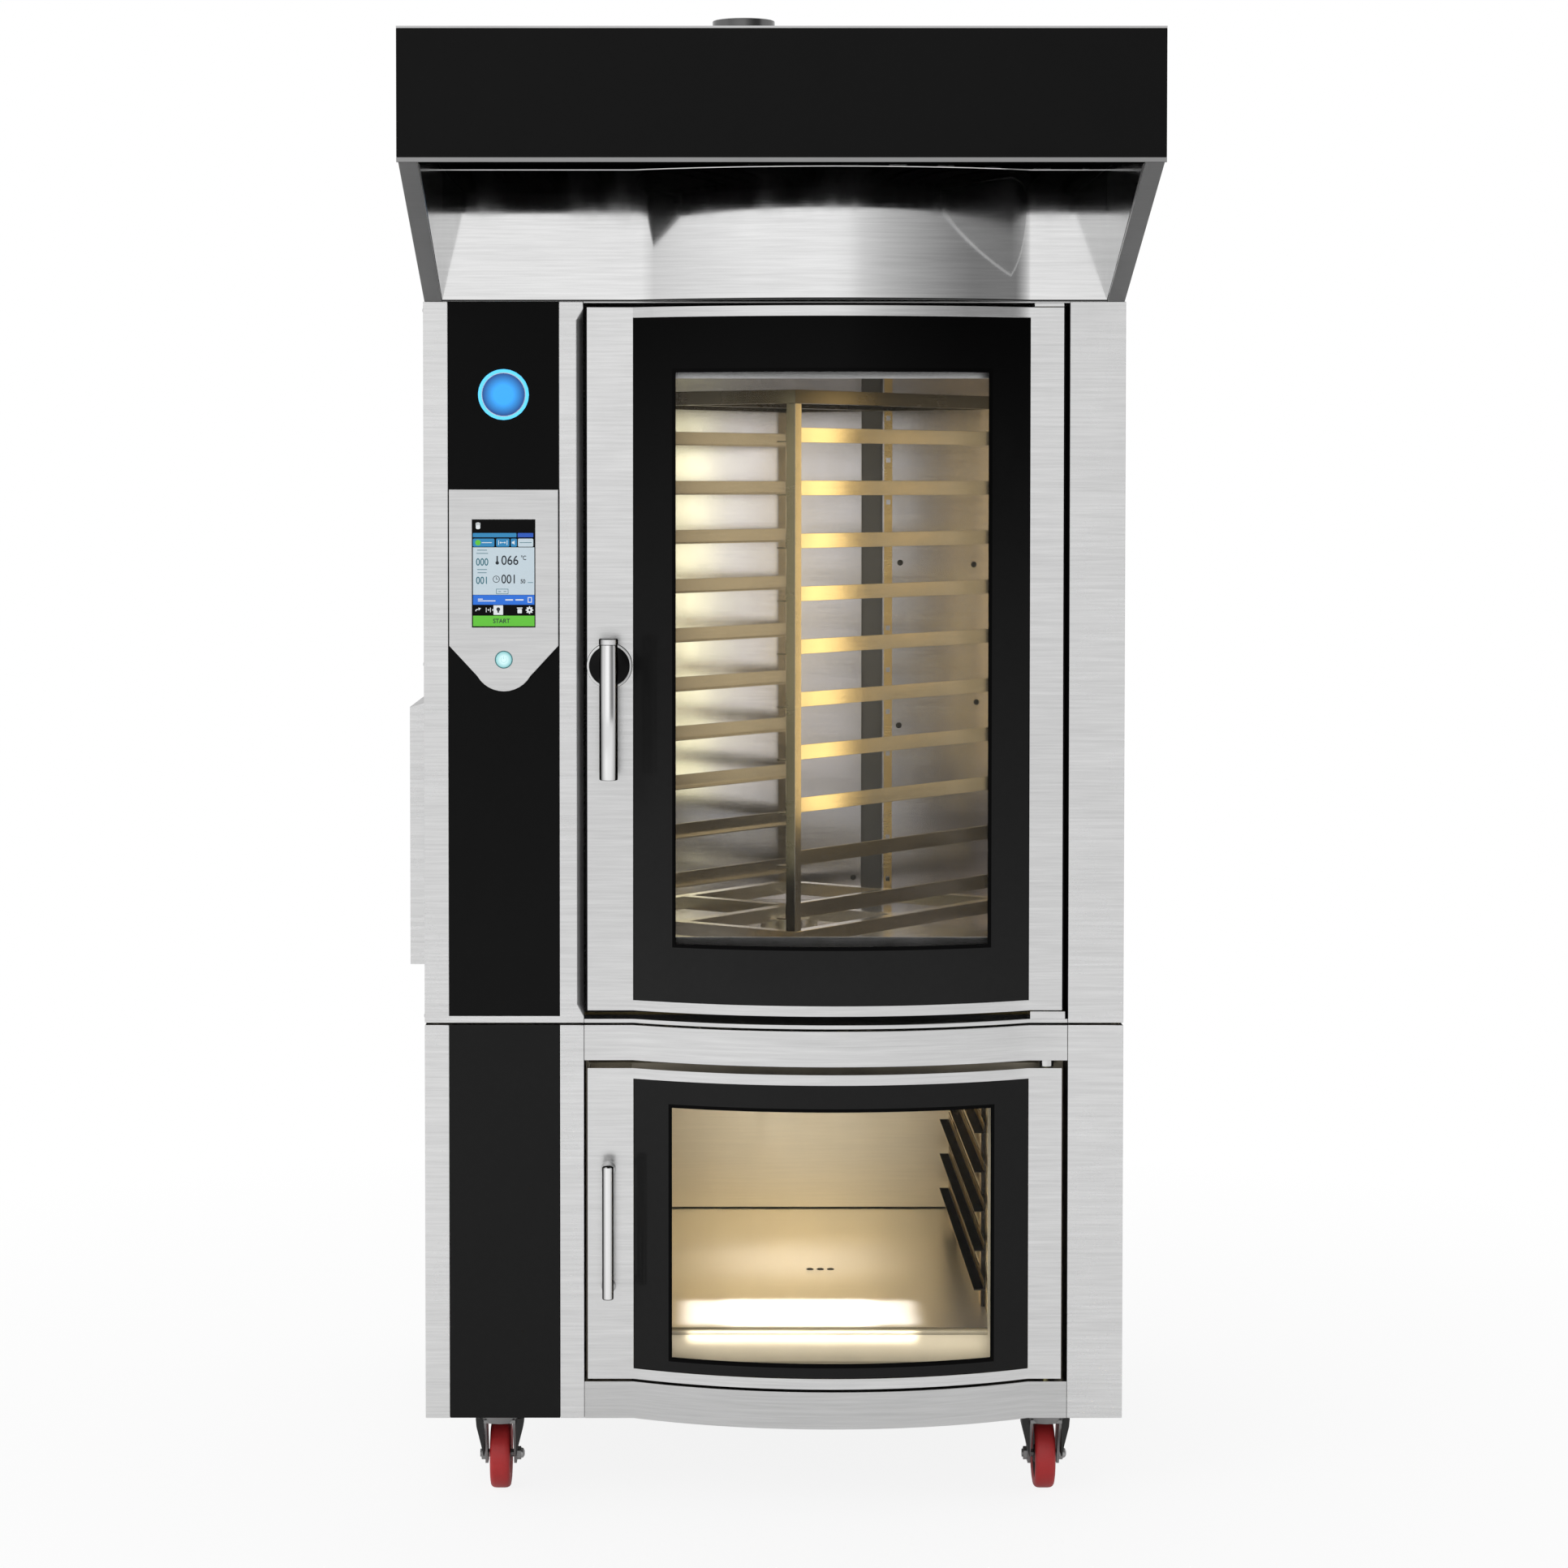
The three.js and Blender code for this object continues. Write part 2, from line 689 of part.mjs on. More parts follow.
// the folded front of the control column, with the pocket that takes the black panel
function columnSheet(z0, z1, bevel) {
  const path = [
    [left, frontReturn],
    [left, 0],
    [panelLeft, 0],
    [panelLeft, pocketDepth],
    [panelRight, pocketDepth],
    [panelRight, 0],
    [columnRight - bevel, 0],
    ...(bevel > 0 ? [[columnRight, bevel]] : []),
    [columnRight, rebateDepth - fitGap],
  ];
  return upright(foldedSheet(path, sheet), z0, z1);
}

// plain corner at one end of the bevel, running out to nothing
function bevelStop(zEnd, towards) {
  const near = columnRight - edgeBevel;
  const full = zEnd + towards * bevelEnd;
  const out = full + towards * bevelRunOut;
  const corner = [columnRight, 0];
  const ends = [[near, 0], [near, lap], [columnRight - lap, edgeBevel], [columnRight, edgeBevel]];
  const points = [zEnd, full].map((z) => new THREE.Vector3(corner[0], corner[1], z));
  ends.forEach(([x, y]) => points.push(new THREE.Vector3(x, y, zEnd), new THREE.Vector3(x, y, out)));
  return new ConvexGeometry(points);
}

function addControlColumn() {
  addPart('lower_column', columnSheet(casterHeight, beamTop, 0), materials.brushedSteel);
  addPart('lower_black_panel', block(panelLeft + fitGap, panelRight - fitGap,
    pocketDepth - fitGap - panelThickness, pocketDepth - fitGap, casterHeight, beamTop),
  materials.blackGlass);

  const footBar = block(panelLeft - lap, panelRight + lap, 0, pocketDepth + lap,
    ovenBottom, ovenBottom + footBarHeight);
  const column = join([
    columnSheet(ovenBottom, ovenTop, edgeBevel),
    bevelStop(ovenBottom, 1),
    bevelStop(ovenTop, -1),
    footBar,
  ]);
  const buttonHole = rodY(plateX(), buttonZ, -lap, rebateDepth, buttonRadius + fitGap);
  addPart('upper_column', cut(column, [buttonHole]), materials.brushedSteel);

  const glass = block(panelLeft + fitGap, panelRight - fitGap, pocketDepth - fitGap - panelThickness,
    pocketDepth - fitGap, ovenBottom + footBarHeight + fitGap, ovenTop);
  const statusSeat = rodY(plateX(), statusZ, -lap, rebateDepth, statusRadius + fitGap, 24);
  addPart('column_glass', cut(glass, [buttonHole, statusSeat]), materials.blackGlass);
}

function plateX() {
  return (panelLeft + panelRight) / 2;
}

function addHingeColumns() {
  const path = [
    [hingeColumnLeft, rebateDepth - fitGap],
    [hingeColumnLeft, 0],
    [right, 0],
    [right, frontReturn],
  ];
  const profile = foldedSheet(path, sheet);
  addPart('lower_hinge_column', upright(profile, casterHeight, beamTop), materials.brushedSteel);
  addPart('upper_hinge_column', upright(profile, ovenBottom, ovenTop), materials.brushedSteel);
}

// ---------------------------------------------------------------- controls

function addControls() {
  const face = pocketDepth - fitGap - panelThickness;
  const back = face - fitGap;
  const front = back - plateThickness;
  const half = blackPanelWidth / 2 - plateMargin;
  const x = plateX();
  const straightZ = plateTopZ - plateStraight;
  const plateTipZ = plateTopZ - plateTip;
  const tipZ = straightZ - plateTaper;
  const tipDrop = tipZ - plateTipZ;
  const tipRadius = (plateTipHalf ** 2 + tipDrop ** 2) / (2 * tipDrop);
  const tipSwing = Math.asin(plateTipHalf / tipRadius);
  const plate = new THREE.Shape();
  plate.moveTo(x - half, plateTopZ);
  plate.lineTo(x - half, straightZ);
  plate.lineTo(x - plateTipHalf, tipZ);
  const down = -Math.PI / 2;
  plate.absarc(x, plateTipZ + tipRadius, tipRadius, down - tipSwing, down + tipSwing, false);
  plate.lineTo(x + half, straightZ);
  plate.lineTo(x + half, plateTopZ);
  plate.closePath();
  const screenTopZ = plateTopZ - screenDrop;
  const screen = [x - screenWidth / 2, x + screenWidth / 2, screenTopZ - screenHeight, screenTopZ];
  const window = block(screen[0] - fitGap, screen[1] + fitGap, front - lap, back + lap,
    screen[2] - fitGap, screen[3] + fitGap);
  const hole = rodY(x, buttonZ, front - lap, back + lap, buttonRadius + fitGap);
  addPart('control_plate', cut(frontward(plate, front, back, 6), [window, hole]), materials.brushedSteel);
  addPart('touch_screen', block(screen[0], screen[1], front + screenRecess, back, screen[2], screen[3]),
    materials.screen);

  const head = rodY(x, buttonZ, front - buttonTravel, front - buttonTravel + buttonStem, buttonRadius);
  const flangeY = pocketDepth + sheet + fitGap;
  const flange = rodY(x, buttonZ, flangeY, flangeY + buttonFlange, buttonRadius + buttonLip);
  addPart('power_button', join([head, flange]), materials.paleLens);

  const lensHeight = panelThickness + statusProud;
  const lens = new THREE.LatheGeometry([
    [0, 0], [statusRadius, 0], [statusRadius, lensHeight - statusChamfer],
    [statusRadius - statusChamfer, lensHeight], [0, lensHeight],
  ].map(([r, h]) => new THREE.Vector2(r, h)), 24);
  lens.rotateX(Math.PI).translate(x, pocketDepth - fitGap, statusZ);
  addPart('status_light', lens, materials.blueLens);
}

// ---------------------------------------------------------------- oven section

function addOvenCasing() {
  const box = shell(
    [left, right, frontReturn, cabinetDepth, ovenBottom, ovenTop],
    [left + sheet, right - sheet, frontReturn - lap, cabinetDepth - sheet,
      ovenBottom + sheet, ovenTop - sheet],
  );
  const head = block(columnRight + fitGap, hingeColumnLeft - fitGap, 0, frontReturn + lap,
    ovenTop - sheet, ovenTop);
  const corners = [[left + sheet, columnRight + fitGap], [hingeColumnLeft - fitGap, right - sheet]];
  const notches = corners.map(([a, b]) => block(
    a, b, frontReturn - lap, rebateDepth, ovenBottom - lap, ovenTop + lap));
  const motorHole = rodX(fanY, fanZ, left - lap, left + sheet + lap, motorRadius + motorClearance);
  const reach = gearboxHalf + gearboxClearance;
  const driveHole = block(rackX - reach, rackX + reach, rackY - reach, rackY + reach,
    ovenBottom - lap, ovenBottom + sheet + lap);
  const vents = rearVents(ovenTop - ovenVentDrop);
  const spacerX = [left + sheet, right - topRim];
  const spacerY = [rebateDepth + spacerInset, cabinetDepth - spacerLength - spacerInset];
  const spacers = spacerX.flatMap((x) => spacerY.map((y) => block(
    x, x + topRim - sheet, y, y + spacerLength, beamTop, ovenBottom)));
  const openings = [...notches, motorHole, driveHole, ...vents];
  addPart('oven_casing', cut(join([box, head, ...spacers]), openings), materials.brushedSteel);
}

function addChamberLiner() {
  const half = chamberWidth / 2;
  const inside = [-half, half, rebateDepth + sheet, chamberBack, chamberFloorZ, chamberTop];
  const tub = shell(
    [-half - sheet, half + sheet, rebateDepth, chamberBack + sheet,
      chamberFloorZ - sheet, chamberTop + sheet],
    inside,
  );
  const land = block(-half - sheet, half + sheet, rebateDepth, rebateDepth + sheet,
    sillTop + fitGap, ovenTop - sheet - fitGap);
  const mouth = block(mouthLeft, mouthRight, rebateDepth - lap, rebateDepth + sheet + lap,
    chamberFloorZ, chamberTop);
  const motorHole = rodX(fanY, fanZ, -half - sheet - lap, -half + lap, fanShaftRadius + 2 * motorClearance);
  const driveHole = rodZ(rackX, rackY, chamberFloorZ - sheet - lap, chamberFloorZ + lap,
    driveShaftRadius + shaftClearance);
  addPart('chamber_liner', cut(join([tub, land]), [mouth, motorHole, driveHole]), materials.innerSteel);
}

function addInsulation() {
  const x = chamberWidth / 2 + sheet + fitGap;
  const y0 = rebateDepth + sheet + fitGap;
  const y1 = chamberBack + sheet + fitGap;
  const z0 = chamberFloorZ - sheet - fitGap;
  const z1 = chamberTop + sheet + fitGap;
  const outerX = cabinetWidth / 2 - sheet - fitGap;
  const wool = shell(
    [-outerX, outerX, y0, y1 + insulationThickness, ovenBottom + sheet + fitGap, z1 + insulationThickness],
    [-x, x, y0 - lap, y1, z0, z1],
  );
  const driveSpace = gearPlateHalf + gearboxClearance;
  const motorHole = rodX(fanY, fanZ, -outerX - lap, -x + lap, motorRadius + motorClearance);
  const driveHole = block(rackX - driveSpace, rackX + driveSpace, rackY - driveSpace, rackY + driveSpace,
    ovenBottom, z0 + lap);
  addPart('chamber_insulation', cut(wool, [motorHole, driveHole]), materials.mineralWool);
}

// the wall between rack and fan, with a suction mouth and outlet slots front and rear
function addAirBaffle() {
  const y0 = rebateDepth + sheet + fitGap;
  const y1 = chamberBack - fitGap;
  const z0 = chamberFloorZ + fitGap;
  const z1 = chamberTop - fitGap;
  const plate = block(baffleX, baffleX + sheet, y0, y1, z0, z1);
  const rolled = [y0, y1 - sheet].map((y) => block(
    baffleX - baffleReturn, baffleX + lap, y, y + sheet, z0, z1));
  const tools = [rodX(fanY, fanZ, baffleX - lap, baffleX + sheet + lap, inletRadius)];
  const firstSlotZ = (z0 + z1 - (outletSlots - 1) * outletPitch - outletHeight) / 2;
  for (let row = 0; row < outletSlots; row += 1) {
    const z = firstSlotZ + row * outletPitch;
    [y0 + outletInset, y1 - outletInset - outletWidth].forEach((y) => tools.push(
      block(baffleX - lap, baffleX + sheet + lap, y, y + outletWidth, z, z + outletHeight)));
  }
  const half = guardWidth / 2;
  const reach = inletRadius + half;
  const bars = [-1, 0, 1].map((step) => block(baffleX, baffleX + sheet, fanY - reach, fanY + reach,
    fanZ + step * guardPitch - half, fanZ + step * guardPitch + half));
  const post = block(baffleX, baffleX + sheet, fanY - half, fanY + half, fanZ - reach, fanZ + reach);
  addPart('air_baffle', join([cut(join([plate, ...rolled]), tools), ...bars, post]),
    materials.innerSteel);
}

// section of one blade of the fan wheel, in Y and Z, swept back towards its tip
function bladeShape(index) {
  const root = inletRadius + bladeThickness;
  const tip = impellerRadius - bladeThickness;
  const edge = (shift) => [0, 0.5, 1].map((t) => {
    const r = root + (tip - root) * t;
    const a = (2 * Math.PI * index) / bladeCount - bladeSweep * t ** 1.4 + shift / r;
    return [fanY + r * Math.cos(a), fanZ + r * Math.sin(a)];
  });
  return outline([...edge(bladeThickness / 2), ...edge(-bladeThickness / 2).reverse()]);
}

// centrifugal wheel: back disc, hub, curved blades and a front ring, turning about X
function addFan() {
  const backX = -chamberWidth / 2 + impellerSetback;
  const frontX = backX + impellerWidth;
  const blades = [];
  for (let i = 0; i < bladeCount; i += 1) {
    blades.push(sideward(bladeShape(i), backX + sheet / 2, frontX - sheet / 2));
  }
  const disc = rodX(fanY, fanZ, backX, backX + sheet, impellerRadius, 24);
  const hub = rodX(fanY, fanZ, backX, backX + hubLength, hubRadius);
  const ring = cut(rodX(fanY, fanZ, frontX - sheet, frontX, impellerRadius, 24),
    [rodX(fanY, fanZ, frontX - sheet - lap, frontX + lap, inletRadius, 24)]);
  const bore = rodX(fanY, fanZ, backX - lap, backX + hubLength + lap, fanShaftRadius + 2 * fitGap, 12);
  addPart('fan_impeller', cut(join([disc, hub, ring, ...blades]), [bore]), materials.innerSteel);

  const motorFront = -chamberWidth / 2 - sheet - fitGap;
  const motorRear = motorFront - motorLength;
  const fins = [];
  for (let i = 0; i < motorFins; i += 1) {
    const x = motorRear + motorRearFin + i * motorFinPitch;
    fins.push(rodX(fanY, fanZ, x, x + motorFinWidth, motorRadius, 12));
  }
  const canRadius = motorRadius - motorFinHeight;
  const can = rodX(fanY, fanZ, motorRear, motorFront - motorNose, canRadius, 12);
  const nose = rodX(fanY, fanZ, motorFront - motorNose - lap, motorFront, motorNoseRadius, 12);
  const shaft = rodX(fanY, fanZ, motorFront - lap, backX + hubLength - hubRecess, fanShaftRadius, 12);
  addPart('fan_motor', join([can, nose, shaft, ...fins]), materials.castMotor);
}

// coiled tubular heater round the fan wheel; both ends turn back through the chamber wall
class ElementPath extends THREE.Curve {
  getPoint(t, target = new THREE.Vector3()) {
    const wallX = -chamberWidth / 2 + fitGap;
    const lead = elementLead;
    const coilStart = wallX + elementStandoff;
    const coilEnd = coilStart + elementTurns * elementPitch;
    const turn = THREE.MathUtils.clamp((t - lead) / (1 - 2 * lead), 0, 1);
    const sweep = turn * elementTurns * elementFill * 2 * Math.PI;
    const angle = THREE.MathUtils.degToRad(elementStart) + sweep;
    let x = coilStart + turn * (coilEnd - coilStart);
    let radius = elementRadius;
    if (t < lead) x = wallX + (t / lead) * (coilStart - wallX);
    if (t > 1 - lead) {
      const back = (t - 1 + lead) / lead;
      radius = elementRadius + elementPitch * Math.min(1, back * 2);
      x = coilEnd - Math.max(0, back * 2 - 1) * (coilEnd - wallX);
    }
    return target.set(x, fanY + radius * Math.cos(angle), fanZ + radius * Math.sin(angle));
  }
}

function addHeatingElement() {
  const corners = Array.from({ length: elementSides }, (_, k) => (2 * Math.PI * k) / elementSides);
  const section = outline(corners.map((a) => [elementTube * Math.cos(a), elementTube * Math.sin(a)]));
  const tube = new THREE.ExtrudeGeometry(section, {
    steps: 52, extrudePath: new ElementPath(), bevelEnabled: false,
  });
  addPart('heating_element', tube, materials.galvanised);
}

// tall lamp cover in the front corner beside the fan space, with a rounded edge
function addChamberLamp() {
  const x = baffleX + sheet + fitGap;
  const y = rebateDepth + sheet + fitGap;
  const glass = new THREE.Shape();
  glass.moveTo(x, y);
  glass.lineTo(x + lampWidth, y);
  glass.absarc(x + lampWidth - lampCorner, y + lampDepth - lampCorner, lampCorner, 0, Math.PI / 2, false);
  glass.lineTo(x, y + lampDepth);
  glass.closePath();
  const bottom = chamberFloorZ + lampRise;
  addPart('chamber_lamp', upright(glass, bottom, bottom + lampLength, 4), materials.lampGlass);
}

// gear motor hanging in the oven's floor, with the sleeve that carries the rack's shaft
function addGearmotor() {
  const sleeveTop = chamberFloorZ - sheet - fitGap;
  const seat = rackShaftBottom() - fitGap;
  const at = (half, z0, z1) => block(rackX - half, rackX + half, rackY - half, rackY + half, z0, z1);
  const gearbox = at(gearboxHalf, seat - gearboxHeight, seat);
  const plate = at(gearPlateHalf, ovenBottom + sheet, ovenBottom + sheet + gearPlateThickness);
  const sleeve = rodZ(rackX, rackY, seat - lap, sleeveTop, driveShaftRadius + carrierWall);
  const socket = rodZ(rackX, rackY, seat, sleeveTop + lap, driveShaftRadius + fitGap);
  addPart('rack_gearmotor', cut(join([gearbox, plate, sleeve]), [socket]), materials.castMotor);
}

function rackShaftBottom() {
  return chamberFloorZ - sheet - driveShaftDepth;
}

function addGaskets() {
  const front = doorThickness + fitGap;
  const back = rebateDepth - fitGap;
  const ring = (name, x0, x1, z0, z1) => addPart(name, shell(
    [x0 - gasketWidth, x1 + gasketWidth, front, back, z0 - gasketWidth, z1 + gasketWidth],
    [x0, x1, front - lap, back + lap, z0, z1],
  ), materials.rubber);
  const step = gasketSetback;
  ring('oven_gasket', mouthLeft + step, mouthRight + step, chamberFloorZ - step, chamberTop + step);
  ring('proofer_gasket', prooferLeftX + step, prooferRightX + step,
    prooferFloorZ - step, prooferFloorZ + prooferHeight + step);
}

function addOvenHinges() {
  const low = block(hingeX - hingeInset - hingeBlockLap, doorRight + hingeBlockLap,
    -hingeBlockLap, doorThickness, sillTop, ovenDoorBottom - hingeGap);
  const lowPin = hingePin(sillTop + lap, ovenDoorBottom + pinReach);
  addPart('oven_hinge_bottom', join([low, lowPin]), materials.brushedSteel);
  const high = block(hingeX - hingeInset, doorRight, 0, rebateDepth - fitGap,
    ovenDoorTop + hingeGap, ovenTop - sheet);
  const highPin = hingePin(ovenDoorTop - pinReach, ovenTop - sheet - lap);
  addPart('oven_hinge_top', join([high, highPin]), materials.brushedSteel);
}

// ---------------------------------------------------------------- doors

// curved door: two tube stiles, curved caps, an inner frame, and the panes it holds
function doorPieces(z0, z1, windowMargin, doubleGlazed) {
  const inner = [z0 + doorCapHeight, z1 - doorCapHeight];
  const window = [curveLeft + windowSideMargin, curveRight - windowSideMargin,
    inner[0] + windowMargin, inner[1] - windowMargin];
  const pinHole = (z) => rodZ(hingeX, hingeDepth, z - pinReach - pinEndSpace, z + pinReach + pinEndSpace,
    pinRadius + pinClearance, smallSteps);
  const latchStile = cut(block(doorLeft, curveLeft, 0, doorThickness, z0, z1), [
    block(doorLeft + stileWall, curveLeft - stileWall, stileWall, doorThickness - stileWall,
      z0 - lap, z1 + lap),
  ]);
  const hingeStile = cut(block(curveRight, doorRight, 0, doorThickness, z0, z1), [
    block(curveRight + stileWall, doorRight - stileWall, stileWall, doorThickness - stileWall,
      z0 + doorEndBlock, z1 - doorEndBlock),
    pinHole(z0), pinHole(z1),
  ]);
  const capShape = curvedFront(curveLeft, curveRight, 0, doorThickness);
  const capHollow = curvedFront(curveLeft + stileWall, curveRight - stileWall, stileWall,
    doorThickness - stileWall);
  const caps = [
    cut(upright(capShape, z0, inner[0]), [upright(capHollow, z0 + stileWall, inner[0] + lap)]),
    cut(upright(capShape, inner[1], z1), [upright(capHollow, inner[1] - lap, z1 - stileWall)]),
  ];
  const rebate = block(window[0] - glassRebate, window[1] + glassRebate,
    doorThickness - innerGlassThickness - fitGap, doorThickness + lap,
    window[2] - glassRebate, window[3] + glassRebate);
  const border = block(curveLeft, curveRight, innerFrameFront, doorThickness,
    inner[0] - lap, inner[1] + lap);
  const ring = cut(border, [
    block(window[0], window[1], 0, doorThickness + lap, window[2], window[3]),
    ...(doubleGlazed ? [rebate] : []),
  ]);
  const frame = join([latchStile, hingeStile, ...caps, ring]);
  const pane = upright(curvedPane(curveLeft + fitGap, curveRight - fitGap, glassSetback, glassThickness),
    inner[0] + fitGap, inner[1] - fitGap);
  const g = glassRebate - fitGap;
  const innerPane = block(window[0] - g, window[1] + g, doorThickness - innerGlassThickness, doorThickness,
    window[2] - g, window[3] + g);
  return { frame, pane, innerPane };
}

function addDoors() {
  const ovenDoor = doorPieces(ovenDoorBottom, ovenDoorTop, ovenWindowMargin, true);
  const spindleHole = rodY(leverX, leverZ, -lap, doorThickness + lap, spindleRadius + fitGap);
  addPart('oven_door_frame', cut(ovenDoor.frame, [spindleHole]), materials.brushedSteel);
  addPart('oven_door_glass', ovenDoor.pane, materials.blackGlass);
  addPart('oven_door_inner_glass', ovenDoor.innerPane, materials.clearGlass);

  const prooferDoor = doorPieces(prooferDoorBottom, prooferDoorTop, prooferWindowMargin, false);
  addPart('proofer_door_frame', prooferDoor.frame, materials.brushedSteel);
  addPart('proofer_door_glass', prooferDoor.pane, materials.blackGlass);
}

function addHandles() {
  const rosette = cut(rodY(leverX, leverZ, -rosetteThickness, -fitGap, rosetteRadius, 24),
    [rodY(leverX, leverZ, -rosetteThickness - lap, lap, spindleRadius + fitGap)]);
  addPart('lever_rosette', rosette, materials.blackPlastic);

  const bar = rodZ(leverX, -leverStandoff, leverZ - leverBottom, leverZ + leverTop, leverBarRadius);
  const cap = rodZ(leverX, -leverStandoff, leverZ + leverTop - leverCapHeight, leverZ + leverTop,
    leverBarRadius + leverCapLip);
  const neck = rodY(leverX, leverZ, -leverStandoff, -rosetteThickness - fitGap, leverNeckRadius);
  const camBack = doorThickness + camThickness;
  const spindle = rodY(leverX, leverZ, -rosetteThickness - 2, camBack, spindleRadius);
  const cam = [
    rodY(leverX, leverZ, doorThickness + fitGap, camBack, camWidth / 2, smallSteps),
    block(leverX - camWidth / 2, leverX + camWidth / 2, doorThickness + fitGap, camBack,
      leverZ - camReach, leverZ),
  ];
  addPart('door_lever', join([bar, cap, neck, spindle, ...cam]), materials.polishedSteel);

  const pull = rodZ(pullX, -pullStandoff, pullBottomZ, pullTopZ, pullRadius);
  const posts = [pullBottomZ + pullPostInset, pullTopZ - pullPostInset].flatMap((z) => [
    rodY(pullX, z, -pullStandoff, -fitGap, pullPostRadius, smallSteps),
    rodY(pullX, z, -pullFootThickness, -fitGap, pullFootRadius, 12),
  ]);
  addPart('proofer_handle', join([pull, ...posts]), materials.polishedSteel);
}

// ---------------------------------------------------------------- rack

// turns a piece that is drawn with its rails along X, centred on the origin, into the rack's place
function onRack(geometry) {
  return geometry.rotateZ(THREE.MathUtils.degToRad(rackAngle)).translate(rackX, rackY, 0);
}

function addRack() {
  const halfL = rackLength / 2;
  const halfW = rackWidth / 2;
  const bar = frameBar;
  const postZ0 = rackBaseZ + bar;
  const frameRing = (z) => shell([-halfL, halfL, -halfW, halfW, z, z + bar],
    [-halfL + bar, halfL - bar, -halfW + bar, halfW - bar, z - lap, z + bar + lap]);
  const spokes = [
    block(-halfL + lap, halfL - lap, -bar / 2, bar / 2, rackBaseZ, rackBaseZ + bar),
    block(-bar / 2, bar / 2, -halfW + lap, halfW - lap, rackBaseZ, rackBaseZ + bar),
  ];
  const hub = rodZ(0, 0, chamberFloorZ + turntableGap, rackBaseZ + lap, turntableRadius, 24);
  const shaft = rodZ(0, 0, rackShaftBottom(), rackBaseZ + lap, driveShaftRadius);
  addPart('rack_base', onRack(join([frameRing(rackBaseZ), ...spokes, hub, shaft])), materials.innerSteel);
  const crown = block(-halfL + lap, halfL - lap, -bar / 2, bar / 2, rackTopZ, rackTopZ + bar);
  addPart('rack_top', onRack(join([frameRing(rackTopZ), crown])), materials.innerSteel);

  const legX = postSize - lap;
  [['rack_side_near', -1], ['rack_side_far', 1]].forEach(([name, side]) => {
    const across = (distance) => side * (halfW - distance);
    const [p0, p1] = [across(0), across(postSize)].sort((a, b) => a - b);
    const pieces = [-halfL, halfL - postSize].map((x) => block(
      x, x + postSize, p0, p1, postZ0 + fitGap, rackTopZ - fitGap));
    for (let level = 0; level < rackLevels; level += 1) {
      const z = firstRailZ + level * rackPitch - railHeight / 2;
      const ledge = ledgeShape(across, legX, legX + railLedge, z, railHeight, railSheet);
      pieces.push(sideward(ledge, -halfL, halfL));
    }
    addPart(name, onRack(join(pieces)), materials.innerSteel);
  });
}

// ---------------------------------------------------------------- side box, hood and flue

function addSideBox() {
  const outer = outline([
    [left - fitGap, sideBoxBottomZ],
    [left - sideBoxReach, sideBoxBottomZ],
    [left - sideBoxReach, sideBoxTopZ - sideBoxSlope],
    [left - fitGap, sideBoxTopZ],
  ]);
  const inner = outline([
    [left + lap, sideBoxBottomZ + sheet],
    [left - sideBoxReach + sheet, sideBoxBottomZ + sheet],
    [left - sideBoxReach + sheet, sideBoxTopZ - sideBoxSlope - sheet],
    [left + lap, sideBoxTopZ - sheet],
  ]);
  const cover = frontward(outer, sideBoxY, sideBoxY + sideBoxDepth);
  const tools = [frontward(inner, sideBoxY + sheet, sideBoxY + sideBoxDepth - sheet)];
  for (let i = 0; i < sideVentCount; i += 1) {
    const z = sideBoxBottomZ + sideVentRise + i * sideVentPitch;
    tools.push(block(left - sideBoxReach - lap, left - sideBoxReach + sheet + lap,
      sideBoxY + sideVentInset, sideBoxY + sideBoxDepth - sideVentInset, z, z + sideVentHeight));
  }
  addPart('side_box', cut(cover, tools), materials.brushedSteel);
}

